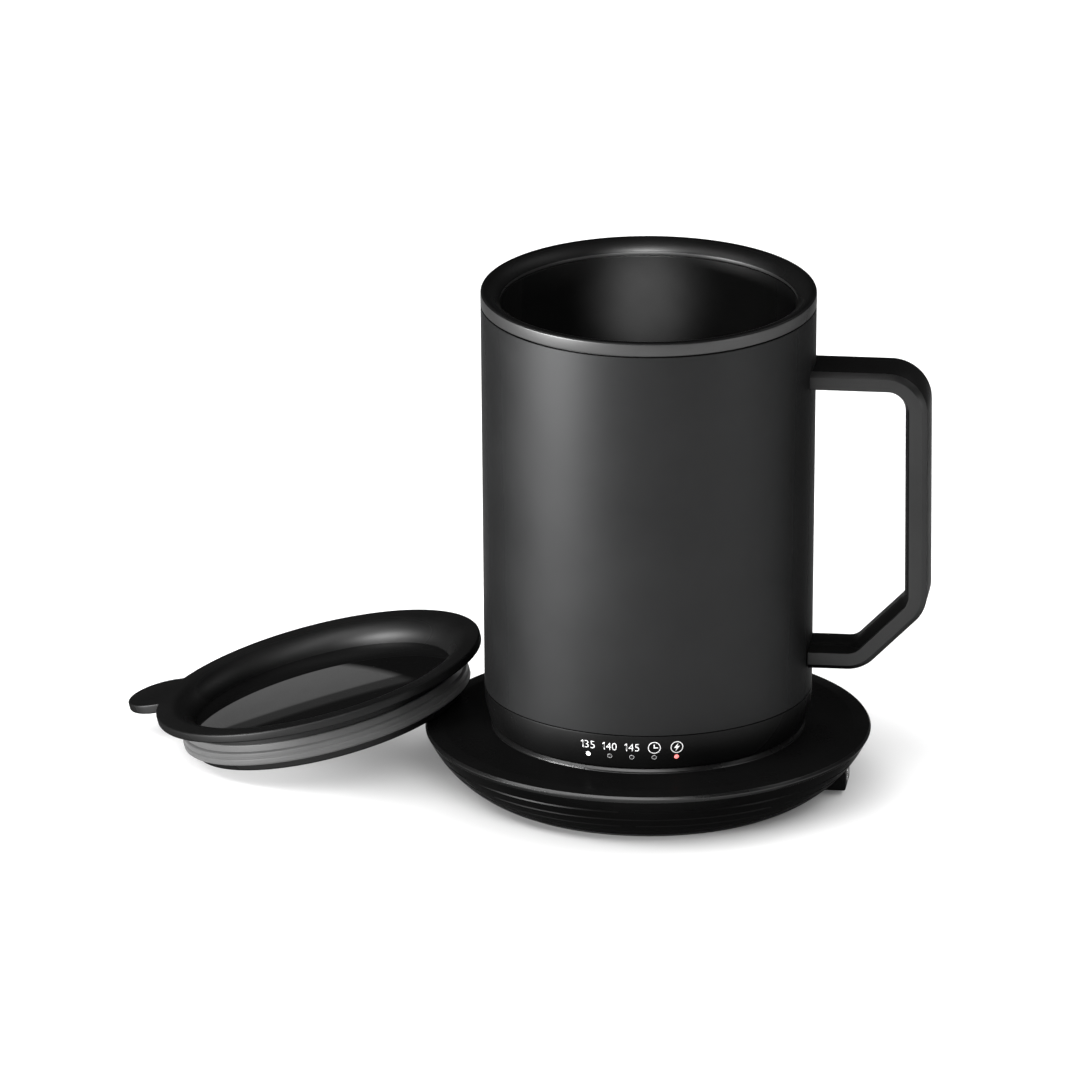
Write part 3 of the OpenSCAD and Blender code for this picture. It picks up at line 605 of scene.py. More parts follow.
@dataclass
class MugBody:
    """The tapered wall, the rim and the cup."""

    shell: Span = field(default_factory=lambda: Span.of("outer_shell"))
    rim: Span = field(default_factory=lambda: Span.of("rim_ring"))
    cup: Span = field(default_factory=lambda: Span.of("inner_cup"))
    base: Span = field(default_factory=lambda: Span.of("base_housing"))
    wall: float = 0.8 * MM
    line: float = 0.15 * MM
    rim_h: float = 3.45 * MM
    rim_edge: float = 0.7 * MM
    crest: float = 1.5 * MM
    mouth_inset: float = 4.8 * MM
    lip_drop: float = 2.8 * MM
    lip_h: float = 0.7 * MM
    lip_bow: float = 0.5 * MM
    painted_shade_slope: float = 0.35
    skirt_w: float = 1.0 * MM
    cup_taper: float = 1.0 * MM
    cup_corner: float = 8.0 * MM
    cup_flange: float = 2.4 * MM
    skirt_gap: float = 0.05 * MM
    steps: int = 256

    @property
    def joint_z(self) -> float:
        """Height of the line between shell and base."""
        return self.shell.low - self.line

    @property
    def mouth_r(self) -> float:
        """Inside radius of the mouth."""
        return self.rim.radius - self.mouth_inset

    def shell_r(self, z: float) -> float:
        """Outer radius of the shell at a height."""
        share = (z - self.joint_z) / (self.rim.high - self.joint_z)
        return self.base.radius + (self.rim.radius - self.base.radius) * share

    def build_shell(self) -> Piece:
        """Turns the tapered outer wall.

        Returns:
            The wall.
        """
        low, high = self.shell.low, self.shell.high
        outer_low, outer_high = self.shell_r(low), self.shell_r(high)
        corners = [
            Corner(outer_low - self.wall, low),
            Corner(outer_low, low, 0.15 * MM),
            Corner(outer_high, high, 0.2 * MM),
            Corner(outer_high - self.wall, high),
        ]
        piece = Bench.lathe("mug_shell", corners, self.steps)
        return hand_over(piece, Body.MUG, "shell_coat", "outer_shell")

    def build_rim(self) -> Piece:
        """Turns the rim ring; faces that point up more than a set slope get the cup's darker coat, painted
        shade on the lip.

        Returns:
            The rim ring.
        """
        top, outer = self.rim.high, self.rim.radius
        face_low = top - self.rim_h
        lip_z = top - self.lip_drop
        seat_z = lip_z - self.lip_h
        skirt = self.shell_r(self.shell.high) - self.wall - self.skirt_gap
        corners = [
            Corner(skirt, face_low),
            Corner(outer, face_low, 0.25 * MM),
            *arc((outer - self.rim_edge, top - self.rim_edge), self.rim_edge, 0, 90, 8),
            *bowed((outer - self.crest, top), (self.mouth_r, lip_z), self.lip_bow, 10),
            Corner(self.mouth_r, seat_z),
            Corner(skirt - self.skirt_w, seat_z),
            Corner(skirt - self.skirt_w, self.rim.low),
            Corner(skirt, self.rim.low),
        ]
        piece = Bench.lathe("mug_rim", corners, self.steps)
        hand_over(piece, Body.MUG, "rim_metal", "rim_ring")
        piece.data.materials.append(FINISHES["cup_coat"].material())
        # Painted shade: faces that point upwards take the darker cup coat, so the lip looks dark.
        for face in piece.data.polygons:
            face.material_index = 1 if face.normal.z > self.painted_shade_slope else 0
        return piece

    def build_cup(self) -> Piece:
        """Turns the cup with its rounded floor.

        Returns:
            The cup.
        """
        floor = self.cup.low + self.wall
        low_r = self.mouth_r - self.cup_taper
        centre = (low_r - self.cup_corner, floor + self.cup_corner)
        flange_r = self.mouth_r + self.cup_flange
        corners = [
            Corner(0, self.cup.low),
            *arc(centre, self.cup_corner + self.wall, -90, 0, 16),
            Corner(self.mouth_r + self.wall, self.cup.high - self.wall),
            Corner(flange_r, self.cup.high - self.wall),
            Corner(flange_r, self.cup.high),
            Corner(self.mouth_r, self.cup.high, 0.1 * MM),
            *arc(centre, self.cup_corner, 0, -90, 16),
            Corner(0, floor),
        ]
        piece = Bench.lathe("mug_cup", corners, self.steps)
        return hand_over(piece, Body.MUG, "cup_coat", "inner_cup")

    def build(self) -> None:
        """Builds the wall, the rim and the cup."""
        self.build_shell()
        self.build_rim()
        self.build_cup()


@dataclass
class MugBase:
    """The base housing with its indicators, and the foot ring."""

    housing: Span = field(default_factory=lambda: Span.of("base_housing"))
    cover: Span = field(default_factory=lambda: Span.of("bottom_cover"))
    foot: Span = field(default_factory=lambda: Span.of("foot_ring"))
    spigot_h: float = 4.6 * MM
    tuck: float = 1.8 * MM
    wall: float = 1.6 * MM
    lip: float = 1.9 * MM
    shell_wall: float = 0.85 * MM
    cover_t: float = 2.4 * MM
    cover_lift: float = 0.25 * MM
    dot_pitch: float = 5.6 * MM
    dot_r: float = 0.6 * MM
    ring_line: float = 0.08 * MM
    dot_rise: float = 3.3 * MM
    label_rise: float = 6.0 * MM
    digit_h: float = 2.0 * MM
    digit_w: float = 1.35 * MM
    digit_offset: float = -0.012
    numbers: tuple[str, ...] = ("35", "40", "45")
    icon_r: float = 1.58 * MM
    icon_line: float = 0.17 * MM
    print_t: float = 0.04 * MM
    print_gap: float = 0.01 * MM
    print_start: float = 5.0 * MM
    pair_shift: float = 0.42
    one_shift: float = 0.86
    stroke: float = 0.11
    dot_dome: float = 0.06 * MM
    dot_bow: float = 0.02 * MM
    dot_depth: float = 2.0 * MM
    bead_h: float = 0.08 * MM
    bead_root: float = 0.1 * MM
    bead_round: float = 0.04 * MM
    dot_states: tuple[Lamp, ...] = (Lamp.WHITE, Lamp.OFF, Lamp.OFF, Lamp.OFF, Lamp.RED)
    foot_w: float = 4.6 * MM

    @property
    def joint_z(self) -> float:
        """Height of the line between shell and base."""
        return self.housing.high - self.spigot_h

    @property
    def height(self) -> float:
        """Visible height of the housing."""
        return self.joint_z - self.housing.low

    @property
    def side_r(self) -> float:
        """Radius of the housing's curved side, seen in section."""
        return (self.height ** 2 + self.tuck ** 2) / (2 * self.tuck)

    def radius_at(self, z: float) -> float:
        """Outer radius of the housing at a height."""
        drop = self.joint_z - z
        return self.housing.radius - self.side_r + math.sqrt(self.side_r ** 2 - drop ** 2)

    def turn_of(self, place: int) -> float:
        """Turn in radians of an indicator, numbered from -2 to 2 about the middle one."""
        return place * self.dot_pitch / self.radius_at(self.housing.low + self.dot_rise)

    def build_housing(self) -> Piece:
        """Turns the housing with its drawn-in side.

        Returns:
            The housing.
        """
        low, top = self.housing.low, self.housing.high
        sweep = math.degrees(math.asin(self.height / self.side_r))
        centre = (self.housing.radius - self.side_r, self.joint_z)
        opening = self.radius_at(low) - self.lip
        spigot = self.housing.radius - self.shell_wall
        inner_low = self.cover.low - self.cover_lift + self.cover_t
        side = arc(centre, self.side_r, -sweep, 0, 20)
        corners = [
            Corner(opening, low),
            Corner(side[0].x, side[0].z, 0.25 * MM),
            *side[1:-1],
            Corner(side[-1].x, side[-1].z, 0.12 * MM),
            Corner(spigot, self.joint_z),
            Corner(spigot, top),
            Corner(spigot - self.wall, top),
            Corner(spigot - self.wall, self.joint_z - self.wall),
            Corner(self.radius_at(inner_low) - self.wall, inner_low),
            Corner(opening, inner_low),
        ]
        piece = Bench.lathe("base_housing_shell", corners, 256)
        return hand_over(piece, Body.MUG, "base_gloss", "base_housing")

    def _wrap(self, mark: Piece, housing: Piece, place: int) -> None:
        """Lays a flat mark on the housing's front and turns it to its indicator.

        Args:
            mark: A flat mesh in the XY plane, centred on the origin.
            housing: The housing that carries it.
            place: Number of the indicator, from -2 to 2.
        """
        upright = Matrix.Rotation(math.pi / 2, 4, "X")
        start = (0, -self.housing.radius - self.print_start, self.housing.low + self.label_rise)
        Bench.place(mark, Matrix.Translation(start) @ upright)
        Bench.pick(mark)
        Bench.open_all()
        bpy.ops.mesh.subdivide(number_cuts=1)
        bpy.ops.object.mode_set(mode="OBJECT")
        Bench.modify(mark, "SHRINKWRAP", target=housing, wrap_method="PROJECT", use_project_y=True,
                     use_positive_direction=True, use_negative_direction=False, offset=self.print_gap)
        Bench.modify(mark, "SOLIDIFY", thickness=self.print_t, offset=1.0)
        Bench.place(mark, Matrix.Rotation(self.turn_of(place), 4, "Z"))

    def digits(self, text: str, one: Piece) -> Piece:
        """Draws a three-digit number that begins with 1, as a flat mesh centred on the origin.

        Args:
            text: The last two digits.
            one: The 1, which is copied.

        Returns:
            The flat mesh.
        """
        Bench.clear()
        bpy.ops.object.text_add()
        pair = bpy.context.object
        pair.data.body = text
        pair.data.align_x = "CENTER"
        pair.data.align_y = "CENTER"
        pair.data.resolution_u = 6
        pair.data.offset = self.digit_offset
        bpy.ops.object.convert(target="MESH")
        pair = Bench.named(f"pair_{text}")
        width, height = self.digit_w, self.digit_h
        middle = sum((Vector(corner) for corner in pair.bound_box), Vector()) / 8
        fit = Matrix.Diagonal((2 * width / pair.dimensions.x, height / pair.dimensions.y, 1, 1))
        shift = Matrix.Translation((self.pair_shift * width, 0, 0))
        Bench.place(pair, shift @ fit @ Matrix.Translation(-middle))
        return Bench.join([pair, Bench.copy(one, f"one_{text}")], f"number_1{text}")

    def one_mark(self) -> Piece:
        """Draws the 1 of the numbers in its place beside their other digits.

        Returns:
            The flat mesh.
        """
        right, top, line = -self.one_shift * self.digit_w, self.digit_h / 2, self.stroke * self.digit_h
        return self.flat_mark("one", [
            (right, -top),
            (right, top),
            (right - line * 0.8, top),
            (right - line * 2.8, top - line * 1.5),
            (right - line * 2.8, top - line * 2.5),
            (right - line, top - line * 1.6),
            (right - line, -top),
        ])

    def ring_mark(self) -> Piece:
        """Draws the flat ring of an icon, centred on the origin.

        Returns:
            The flat mesh.
        """
        Bench.clear()
        bpy.ops.mesh.primitive_circle_add(vertices=48, radius=self.icon_r, fill_type="NGON")
        ring = Bench.named("icon_ring")
        Bench.open_all()
        bpy.ops.mesh.inset(thickness=self.icon_line)
        bpy.ops.mesh.delete(type="FACE")
        bpy.ops.object.mode_set(mode="OBJECT")
        return ring

    @staticmethod
    def flat_mark(name: str, points: Sequence[Point]) -> Piece:
        """Draws a filled flat outline in the XY plane.

        Args:
            name: Name of the mesh.
            points: Corners of the outline in order.

        Returns:
            The flat mesh.
        """
        mark = Bench.outline(name, points)
        bpy.ops.mesh.edge_face_add()
        bpy.ops.object.mode_set(mode="OBJECT")
        Bench.place(mark, Matrix.Rotation(-math.pi / 2, 4, "X"))
        return mark

    def clock(self, ring: Piece) -> Piece:
        """Draws a clock face with two hands.

        Args:
            ring: The ring round it, which is copied.

        Returns:
            The flat mesh.
        """
        r, line = self.icon_r, self.icon_line
        hands = [(-line, 0.55 * r), (line * 0.4, 0.55 * r), (line * 0.4, line * 0.6),
                 (0.55 * r, line * 0.6), (0.55 * r, -line * 0.8), (-line, -line * 0.8)]
        parts = [Bench.copy(ring, "clock_ring"), self.flat_mark("clock_hands", hands)]
        return Bench.join(parts, "timer_mark")

    def bolt(self, ring: Piece) -> Piece:
        """Draws a bolt in a ring.

        Args:
            ring: The ring, which is copied.

        Returns:
            The flat mesh.
        """
        r = self.icon_r
        shape = [(0.2 * r, 0.68 * r), (-0.46 * r, -0.14 * r), (-0.04 * r, -0.14 * r), (-0.22 * r, -0.68 * r),
                 (0.46 * r, 0.18 * r), (0.05 * r, 0.18 * r)]
        parts = [Bench.copy(ring, "bolt_ring"), self.flat_mark("bolt_flash", shape)]
        return Bench.join(parts, "charge_mark")

    def build_labels(self, housing: Piece) -> None:
        """Prints the numbers and icons over the dots.

        Args:
            housing: The housing that carries them.
        """
        one, ring = self.one_mark(), self.ring_mark()
        marks = [self.digits(text, one) for text in self.numbers]
        marks += [self.clock(ring), self.bolt(ring)]
        for i, mark in enumerate(marks):
            self._wrap(mark, housing, i - 2)
            Bench.weld(mark)
            hand_over(mark, Body.MUG, "light_guide", finish=PRINT)
        for model in (one, ring):
            bpy.data.objects.remove(model)

    def build_dots(self) -> None:
        """Builds the five light guides' faces, with a printed ring round each unlit one."""
        z = self.housing.low + self.dot_rise
        inner = self.dot_r - self.ring_line
        outline = [
            Corner(0, -self.dot_depth),
            Corner(self.dot_r, -self.dot_depth),
            Corner(self.dot_r, 0),
            *bowed((self.dot_r, 0), (0, self.dot_dome), self.dot_bow, 4),
        ]
        bead = [
            Corner(inner, 0),
            Corner(self.dot_r, -self.bead_root),
            Corner(self.dot_r, self.bead_h, self.bead_round),
            Corner(inner, self.bead_h, self.bead_round),
        ]
        model_dot = Bench.lathe("model_dot", outline, 32)
        model_ring = Bench.lathe("model_ring", bead, 32, 3)
        tilt = math.atan2(self.radius_at(z + MM) - self.radius_at(z - MM), 2 * MM)
        stand = (Matrix.Translation((0, -self.radius_at(z), z))
                 @ Matrix.Rotation(math.pi / 2 + tilt, 4, "X"))
        for i, state in enumerate(self.dot_states):
            pose = Matrix.Rotation(self.turn_of(i - 2), 4, "Z") @ stand
            dot = Bench.copy(model_dot, f"indicator_dot_{i}")
            Bench.place(dot, pose)
            hand_over(dot, Body.MUG, "light_guide", "light_guides", LAMPS[state])
            if state is Lamp.OFF:
                ring = Bench.copy(model_ring, f"indicator_ring_{i}")
                Bench.place(ring, pose)
                hand_over(ring, Body.MUG, "light_guide", finish=RING_PRINT)
        for model in (model_dot, model_ring):
            bpy.data.objects.remove(model)

    def build_foot(self) -> None:
        """Turns the rubber foot ring with a rounded tread."""
        outer, inner = self.foot.radius, self.foot.radius - self.foot_w
        corners = [
            Corner(inner, self.foot.low, 0.5 * MM),
            Corner(outer, self.foot.low, 0.5 * MM),
            Corner(outer, self.foot.high),
            Corner(inner, self.foot.high),
        ]
        piece = Bench.lathe("foot_tread", corners, 160)
        hand_over(piece, Body.MUG, "black_rubber", "foot_ring")

    def build(self) -> None:
        """Builds the housing, its indicators and the foot ring."""
        housing = self.build_housing()
        self.build_labels(housing)
        self.build_dots()
        self.build_foot()


@dataclass
class PowerButton:
    """The button in the mug's underside."""

    lip: float = 1.0 * MM
    flange_rise: float = 1.05 * MM
    flange_t: float = 0.6 * MM
    dish: float = 0.25 * MM
    dish_bow: float = 0.05 * MM
    land: float = 0.9 * MM
    edge: float = 0.3 * MM
    nub_r: float = 1.3 * MM

    def build(self) -> None:
        """Turns the button with a dished face."""
        lo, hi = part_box("power_button")
        flange_r = (hi.x - lo.x) / 2
        face_r = flange_r - self.lip
        dish_z = lo.z + self.dish
        flange_low = lo.z + self.flange_rise
        flange_high = flange_low + self.flange_t
        corners = [
            Corner(0, dish_z),
            *bowed((0.01 * MM, dish_z), (face_r - self.land, lo.z), self.dish_bow, 6),
            Corner(face_r, lo.z, self.edge),
            Corner(face_r, flange_low),
            Corner(flange_r, flange_low),
            Corner(flange_r, flange_high),
            Corner(self.nub_r, flange_high),
            Corner(self.nub_r, hi.z),
            Corner(0, hi.z),
        ]
        piece = Bench.lathe("button_cap", corners, 96)
        Bench.place(piece, Matrix.Translation(((lo.x + hi.x) / 2, (lo.y + hi.y) / 2, 0)))
        hand_over(piece, Body.BUTTON, "button_rubber", "power_button")


@dataclass
class MugHandle:
    """The strap handle with its cut lower corner."""

    thick: float = 5.7 * MM
    corner_r: float = 4.4 * MM
    cut: float = 14.5 * MM
    bend_r: float = 6.5 * MM
    inner_bevel: float = 2.2 * MM
    outer_bevel: float = 1.3 * MM
    edge: float = 0.45 * MM
    root: float = 40.78 * MM
    cut_turn: float = 45.0

    @staticmethod
    def _advance(length: float, heading: float) -> None:
        """Extrudes the selected end face straight ahead.

        Args:
            length: Distance to extrude.
            heading: Direction in the XZ plane, in degrees from +X.
        """
        angle = math.radians(heading)
        step = (length * math.cos(angle), 0, length * math.sin(angle))
        bpy.ops.mesh.extrude_region_move(TRANSFORM_OT_translate={"value": step})

    @staticmethod
    def _bend(angle: float, steps: int, x: float, z: float) -> None:
        """Spins the selected end face by an angle in degrees round a bend's middle."""
        bpy.ops.mesh.spin(steps=steps, angle=math.radians(angle), center=(x, 0, z), axis=(0, -1, 0))

    def build(self) -> Piece:
        """Extrudes and spins the strap's section along its path.

        Returns:
            The handle.
        """
        lo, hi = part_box("handle")
        width = hi.y - lo.y
        x = hi.x - self.thick / 2
        top, bottom = hi.z - self.thick / 2, lo.z + self.thick / 2
        top_r = self.corner_r + self.thick / 2
        bend = self.bend_r * math.tan(math.radians(self.cut_turn / 2))
        Bench.clear()
        bpy.ops.mesh.primitive_plane_add(size=1.0)
        piece = Bench.named("handle_strap")
        Bench.place(piece, Matrix.Translation((self.root, 0, top)) @ Matrix.Rotation(math.pi / 2, 4, "Y")
                    @ Matrix.Diagonal((self.thick, width, 1, 1)))
        for side, bevel in ((1, self.outer_bevel), (-1, self.inner_bevel)):
            for vertex in piece.data.vertices:
                vertex.select = (vertex.co.z - top) * side > self.thick * 0.45
            bpy.ops.object.mode_set(mode="EDIT")
            bpy.ops.mesh.select_mode(type="VERT")
            bpy.ops.mesh.bevel(offset=bevel, affect="VERTICES", segments=1)
            bpy.ops.mesh.select_all(action="DESELECT")
            bpy.ops.object.mode_set(mode="OBJECT")
        bpy.ops.object.mode_set(mode="EDIT")
        bpy.ops.mesh.select_mode(type="FACE")
        bpy.ops.mesh.select_all(action="SELECT")
        self._advance(x - top_r - self.root, 0)
        self._bend(90, 18, x - top_r, top - top_r)
        self._advance(top - top_r - bottom - self.cut - bend, -90)
        self._bend(self.cut_turn, 10, x - self.bend_r, bottom + self.cut + bend)
        self._advance(self.cut * math.sqrt(2) - 2 * bend, -90 - self.cut_turn)
        self._bend(self.cut_turn, 10, x - self.cut - bend, bottom + self.bend_r)
        self._advance(x - self.cut - bend - self.root, 180)
        bpy.ops.mesh.select_mode(type="VERT")
        Bench.weld(piece)
        Bench.bevel(piece, self.edge, 22, 4)
        Bench.smooth(piece, 25)
        return hand_over(piece, Body.MUG, "handle_plastic", "handle")


@dataclass
class Coaster:
    """The charging coaster: top plate, grooved bowl, power socket and charging pins."""

    top: Span = field(default_factory=lambda: Span.of("coaster_top"))
    bowl: Span = field(default_factory=lambda: Span.of("coaster_base"))
    mug_foot: Span = field(default_factory=lambda: Span.of("foot_ring"))
    pad: Span = field(default_factory=lambda: Span.of("coaster_pad"))
    steps: int = 256
    plate_t: float = 2.0 * MM
    ring_h: float = 1.2 * MM
    ring_w: float = 1.5 * MM
    ring_gap: float = 0.5 * MM
    bevel_w: float = 0.52 * MM
    bevel_h: float = 0.75 * MM
    border_w: float = 4.0 * MM
    border_drop: float = 0.35 * MM
    edge_w: float = 0.42 * MM
    edge_h: float = 0.6 * MM
    undercut_w: float = 0.45 * MM
    undercut_h: float = 0.8 * MM
    bowl_wall: float = 1.8 * MM
    bowl_steps: int = 14
    floor_step: int = 3
    pad_gap: float = 0.05 * MM
    draw: float = 12.6 * MM
    bulge: float = 1.35 * MM
    rim_step: float = 0.5 * MM
    groove_w: float = 0.6 * MM
    groove_d: float = 0.32 * MM
    groove_break: float = 4.5
    groove_shares: tuple[float, ...] = (0.22, 0.4133, 0.6067, 0.8)
    holder_r: float = 11.55 * MM
    inlet_w: float = 11.0 * MM
    inlet_roof: float = 1.5 * MM
    inlet_start: float = 3.2 * MM
    inlet_edge: float = 0.5 * MM
    socket_bore: float = 1.75 * MM
    socket_back: float = 1.0 * MM
    socket_gap: float = 0.05 * MM
    hole_low: float = -1.0 * MM
    hole_high: float = 14.0 * MM
    pin_collar_w: float = 0.5 * MM
    pin_collar_h: float = 0.8 * MM
    pin_tip_h: float = 0.4 * MM
    pin_tip_bow: float = 0.15 * MM

    @property
    def plate_z(self) -> float:
        """Height of the plate's top face."""
        return self.top.high - self.ring_h

    def build_top(self) -> Piece:
        """Turns the top plate with its locating ring and sloped border.

        Returns:
            The plate.
        """
        rim, under = self.top.radius, self.plate_z - self.plate_t
        edge_z = self.plate_z - self.border_drop
        border_in = rim - self.edge_w - self.border_w
        ring_in = self.mug_foot.radius + self.ring_gap
        ring_out = ring_in + self.ring_w
        corners = [
            Corner(self.holder_r, under),
            Corner(rim - self.undercut_w, under, 0.1 * MM),
            Corner(rim, under + self.undercut_h, 0.2 * MM),
            Corner(rim, edge_z - self.edge_h, 0.05 * MM),
            Corner(rim - self.edge_w, edge_z, 0.15 * MM),
            Corner(border_in, self.plate_z, 2.0 * MM),
            Corner(ring_out, self.plate_z, 0.25 * MM),
            Corner(ring_out, self.top.high - self.bevel_h, 0.1 * MM),
            Corner(ring_out - self.bevel_w, self.top.high, 0.1 * MM),
            Corner(ring_in, self.top.high, 0.2 * MM),
            Corner(ring_in, self.plate_z, 0.2 * MM),
            Corner(self.holder_r, self.plate_z, 0.15 * MM),
        ]
        piece = Bench.lathe("coaster_plate", corners, self.steps, 6)
        return hand_over(piece, Body.COASTER, "coaster_gloss", "coaster_top")

    def side_at(self, share: float) -> Vector:
        """Works out a point of the bowl's side.

        Args:
            share: Place along the side, from 0 at the underside to 1 at the rim.

        Returns:
            The point's distance from the axis and its height.
        """
        low = Vector((self.top.radius - self.draw, self.bowl.low))
        high = Vector((self.top.radius - self.rim_step, self.bowl.high))
        way = high - low
        out = Vector((way.y, -way.x)).normalized()
        return low + way * share + out * (4 * self.bulge * share * (1 - share))

    def _groove(self, share: float, turn: float) -> list[Piece]:
        """Spins the cutter of one arc of a groove row, and copies it round the bowl.

        Args:
            share: Place of the row along the bowl's side.
            turn: First angle of the first arc, in degrees.

        Returns:
            The row's cutters.
        """
        here, slope = self.side_at(share), self.side_at(share + 0.02) - self.side_at(share - 0.02)
        along = slope.normalized()
        out = Vector((along.y, -along.x))
        mouth = here + out * self.groove_d
        corners = [here - out * self.groove_d, mouth - along * self.groove_w, mouth + along * self.groove_w]
        cutter = Bench.outline("groove_cutter_0", [tuple(corner) for corner in corners])
        bpy.ops.mesh.edge_face_add()
        bpy.ops.mesh.select_mode(type="FACE")
        bpy.ops.mesh.select_all(action="SELECT")
        sweep = math.radians(90 - self.groove_break)
        bpy.ops.mesh.spin(steps=64, angle=sweep, center=(0, 0, 0), axis=(0, 0, -1))
        bpy.ops.mesh.select_mode(type="VERT")
        Bench.weld(cutter)
        Bench.place(cutter, Matrix.Rotation(math.radians(turn + self.groove_break / 2), 4, "Z"))
        row = [cutter]
        for quarter in (1, 2, 3):
            row.append(Bench.copy(cutter, f"groove_cutter_{quarter}"))
            Bench.place(row[-1], Matrix.Rotation(quarter * FULL_TURN / 4, 4, "Z"))
        return row

    def build_bowl(self) -> Piece:
        """Turns the bowl, cuts its grooves and adds the inlet block.

        Returns:
            The bowl.
        """
        recess_z = self.pad.high
        floor = recess_z + self.bowl_wall
        pad_edge = self.pad.radius + self.pad_gap
        side = [self.side_at(i / self.bowl_steps) for i in range(self.bowl_steps + 1)]
        inside = [Corner(point.x - self.bowl_wall, point.y) for point in reversed(side[self.floor_step:])]
        corners = [
            Corner(0, recess_z),
            Corner(pad_edge, recess_z),
            Corner(pad_edge, self.bowl.low, 0.2 * MM),
            Corner(side[0].x, side[0].y, 0.5 * MM),
            *[Corner(point.x, point.y) for point in side[1:]],
            *inside,
            Corner(inside[-1].x, floor),
            Corner(0, floor),
        ]
        piece = Bench.turned("coaster_bowl", rounded(corners), self.steps)
        cutters = []
        for row, share in enumerate(self.groove_shares):
            start = 45 if row % 2 == 0 else 0
            cutters += self._groove(share, start)
        Bench.combine(piece, Bench.join(cutters, "groove_cutters"), Cut.REMOVE)
        self._add_inlet(piece)
        Bench.weld(piece)
        Bench.smooth(piece, 30)
        return hand_over(piece, Body.COASTER, "coaster_satin", "coaster_base")

    def _add_inlet(self, bowl: Piece) -> None:
        """Adds the block that holds the power socket, with its hole.

        Args:
            bowl: The bowl that carries it.
        """
        lo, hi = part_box("dc_socket")
        radius = (hi.z - lo.z) / 2 + self.socket_gap
        top = hi.z + self.inlet_roof
        start = lo.x + self.inlet_start
        Bench.clear()
        bpy.ops.mesh.primitive_cube_add(size=1.0)
        block = Bench.named("inlet_block")
        middle = ((start + hi.x) / 2, 0, (self.bowl.low + top) / 2)
        size = (hi.x - start, self.inlet_w, top - self.bowl.low)
        Bench.place(block, Matrix.Translation(middle) @ Matrix.Diagonal((*size, 1)))
        Bench.bevel(block, self.inlet_edge, 30, 3)
        Bench.combine(bowl, block, Cut.ADD)
        section = [(0, self.hole_low), (radius, self.hole_low), (radius, self.hole_high), (0, self.hole_high)]
        hole = Bench.turned("socket_hole", section, 64)
        Bench.place(hole, self._socket_pose())
        Bench.combine(bowl, hole, Cut.REMOVE)

    @staticmethod
    def _socket_pose() -> Matrix:
        """Gives the matrix that lays a turned piece along the power socket's axis."""
        lo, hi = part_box("dc_socket")
        return Matrix.Translation((lo.x, 0, (lo.z + hi.z) / 2)) @ Matrix.Rotation(math.pi / 2, 4, "Y")

    def build_socket(self) -> Piece:
        """Turns the power socket with its flared mouth.

        Returns:
            The socket.
        """
        lo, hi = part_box("dc_socket")
        radius, length = (hi.z - lo.z) / 2, hi.x - lo.x
        corners = [
            Corner(0, 0),
            Corner(radius, 0),
            Corner(radius, length, 0.15 * MM),
            Corner(self.socket_bore, length, 0.15 * MM),
            Corner(self.socket_bore, self.socket_back),
            Corner(0, self.socket_back),
        ]
        piece = Bench.lathe("power_socket", corners, 64)
        Bench.place(piece, self._socket_pose())
        return hand_over(piece, Body.COASTER, "socket_metal", "dc_socket")

    def build_pad(self) -> Piece:
        """Turns the rubber pad with a rounded tread edge.

        Returns:
            The pad.
        """
        corners = [
            Corner(0, 0),
            Corner(self.pad.radius, 0, 0.6 * MM),
            Corner(self.pad.radius, self.pad.high),
            Corner(0, self.pad.high),
        ]
        piece = Bench.lathe("coaster_tread", corners, 160)
        return hand_over(piece, Body.COASTER, "black_rubber", "coaster_pad")

    def build_pins(self) -> None:
        """Turns a charging pin with a rounded tip, and copies it to its two places."""
        lo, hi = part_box("centre_pin")
        collar = (hi.x - lo.x) / 2
        stem = collar - self.pin_collar_w
        collar_z, tip_z = lo.z + self.pin_collar_h, hi.z - self.pin_tip_h
        corners = [
            Corner(0, lo.z),
            Corner(collar, lo.z),
            Corner(collar, collar_z),
            Corner(stem, collar_z),
            Corner(stem, tip_z),
            *bowed((stem, tip_z), (0, hi.z), self.pin_tip_bow, 8)[1:],
        ]
        model = Bench.lathe("model_pin", corners, 48)
        for node, body in (("centre_pin", Body.CENTRE_PIN), ("ring_pin", Body.RING_PIN)):
            lo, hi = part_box(node)
            pin = Bench.copy(model, f"{node}_stem")
            Bench.place(pin, Matrix.Translation(((lo.x + hi.x) / 2, (lo.y + hi.y) / 2, 0)))
            hand_over(pin, body, "contact_brass", node)
        bpy.data.objects.remove(model)

    def build(self) -> None:
        """Builds the plate, the bowl, the socket, the pad and the pins."""
        self.build_top()
        self.build_bowl()
        self.build_socket()
        self.build_pad()
        self.build_pins()


